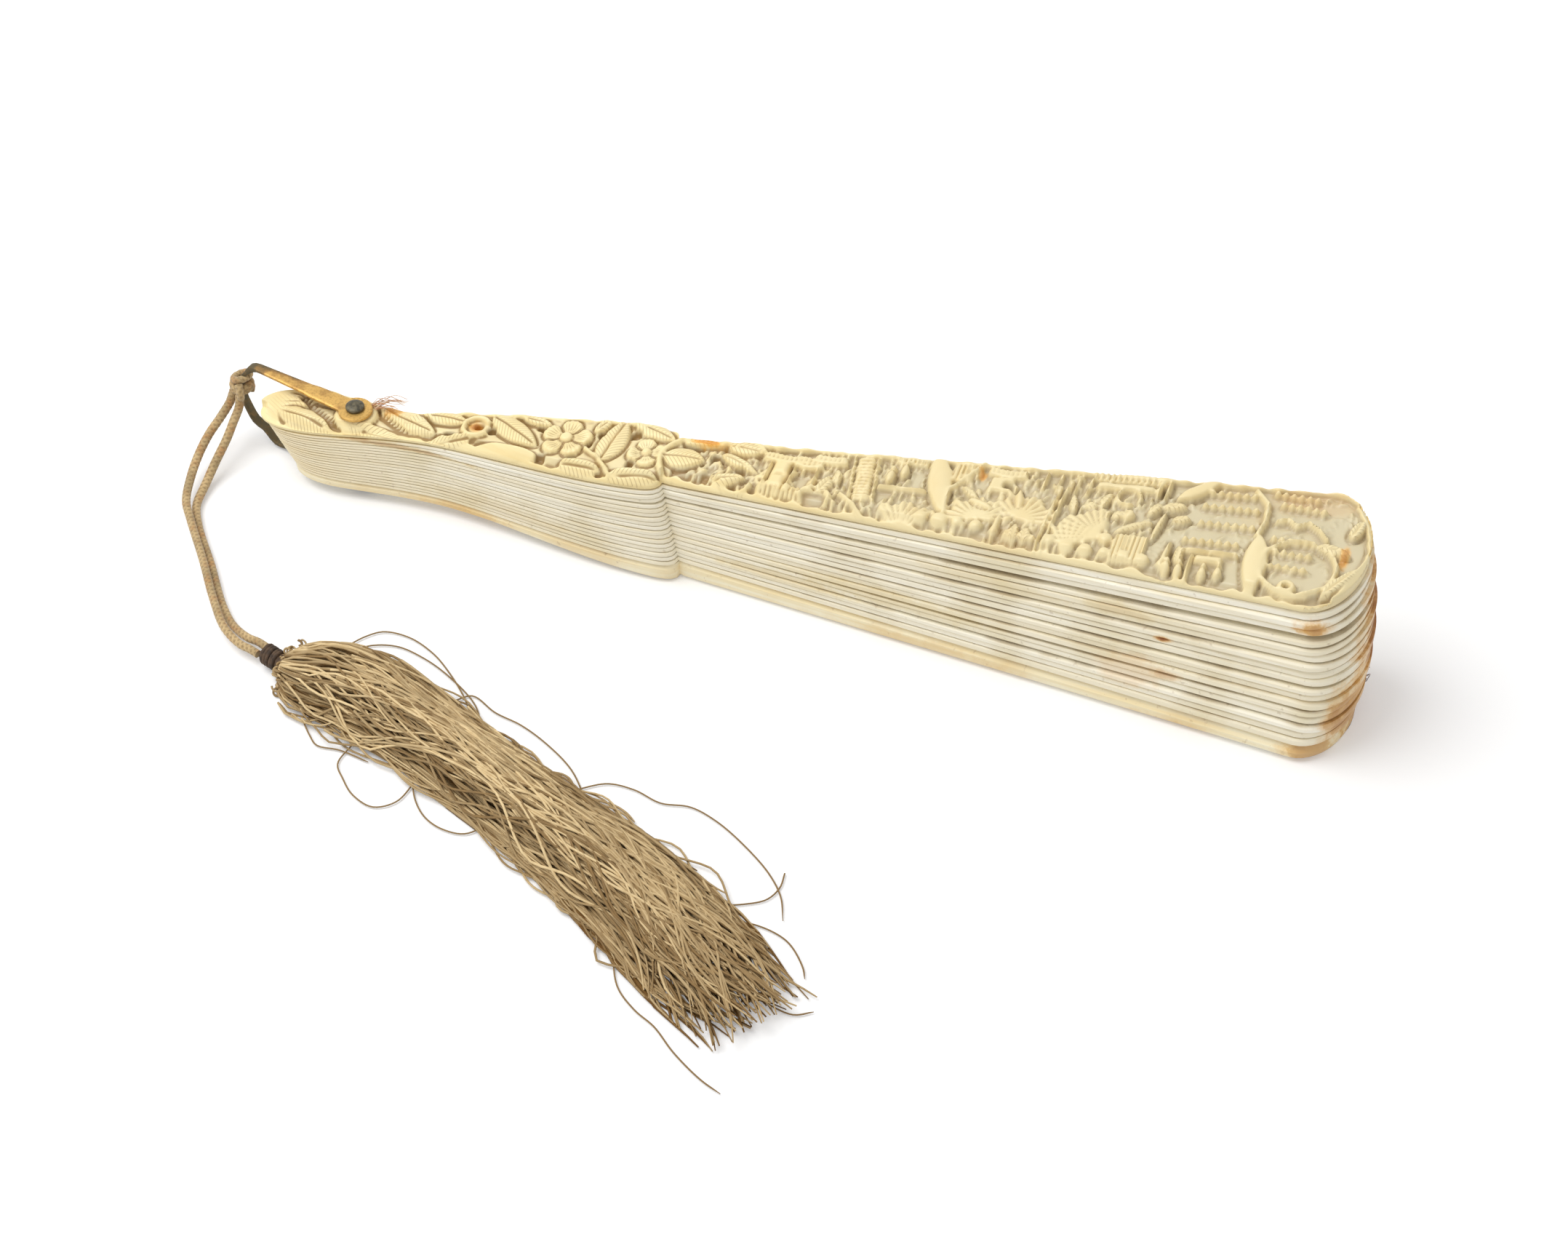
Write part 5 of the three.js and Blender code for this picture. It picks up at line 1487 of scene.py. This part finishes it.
stray_lines = [smooth_route([(x, y, STRAY_HEIGHT) for x, y in stray], 0.6) for stray in STRAYS]
spun = [(line, STRAY_RADIUS, STRAY_TONE) for line in stray_lines]
threads("tassel_stray_threads", spun, 5, tassel_thread, "tassel_and_cord")


# Tuft: a wisp of loose fibres, some beige and some rust-coloured.
# It is caught under the upper eye of the bail and turns with it.
def fibre(name, roughness, dark, light, fleck):
    """A thread's material, from dark to light by the thread's tone, with flecks."""
    material, tree, shader = new_surface(name, roughness)
    colour = mixed(tree, kept_value(tree, "tone"), dark, light)
    flecks = ranged(tree, noise(tree, object_place(tree), 900.0), 0.4, 0.7, 0, 0.5)
    tree.links.new(mixed(tree, flecks, colour, fleck), shader.inputs["Base Color"])
    return material


TUFT_FIBRES, TUFT_RADIUS, TUFT_HEIGHT = 26, 0.055, 16.95
fibre_lines = []
for _ in range(TUFT_FIBRES):
    start = np.array((chance.uniform(1.5, 3.2), chance.uniform(1.6, 3.2), TUFT_HEIGHT))
    way = math.radians(chance.uniform(8, 55))
    reach = chance.uniform(2.0, 6.0)
    on_x, on_y = reach * math.cos(way), reach * math.sin(way)
    bend = [start,
            start + (0.35 * on_x, 0.35 * on_y, chance.uniform(0.1, 0.5)),
            start + (0.7 * on_x, 0.6 * on_y, chance.uniform(0.1, 0.9)),
            start + (reach * math.cos(way - 0.5), 0.6 * on_y, chance.uniform(0.0, 1.2))]
    fibre_lines.append(smooth_route(bend, 0.3))
tuft_tones = chance.uniform(0, 1, TUFT_FIBRES)
rust_fibre = fibre("rust_and_beige_fibre", 0.8, rgb(190, 120, 70), rgb(232, 214, 186), rgb(204, 164, 118))
spun = [(line, TUFT_RADIUS, tone) for line, tone in zip(fibre_lines, tuft_tones)]
threads("rust_tuft", spun, 4, rust_fibre, "bail")


# Ribbon remains: a few dark frayed threads of the lost silk ribbon that joined the sticks.
# They still stick to the end of the head on some of the sticks.
RIBBON_FIBRES, RIBBON_RADIUS, RIBBON_INSET = 7, 0.06, 0.15
ribbon_silk = fibre("dark_ribbon_silk", 0.75, rgb(64, 44, 32), rgb(132, 92, 56), rgb(96, 66, 42))
for layer in (1, 5, 9, 13):
    fibre_lines = []
    for _ in range(RIBBON_FIBRES):
        y = chance.uniform(2, 10)
        x = head_end(y) + layer_lean(layer) - RIBBON_INSET
        start = np.array((x, y, stick_underside(layer)(HEAD_X) + chance.uniform(0.5, 1.1)))
        bend = [start, start + chance.uniform((0.2, -0.3, -0.3), (0.5, 0.5, 0.4)),
                start + chance.uniform((0.4, -0.4, -0.8), (1.1, 1, 0.7))]
        fibre_lines.append(turned(smooth_route(bend, 0.2), layer_turn(layer)))
    name = f"stick_{layer + 1:02d}"
    ribbon_tones = chance.uniform(0, 1, RIBBON_FIBRES)
    spun = [(line, RIBBON_RADIUS, tone) for line, tone in zip(fibre_lines, ribbon_tones)]
    threads(name + "_ribbon_remains", spun, 4, ribbon_silk, name)
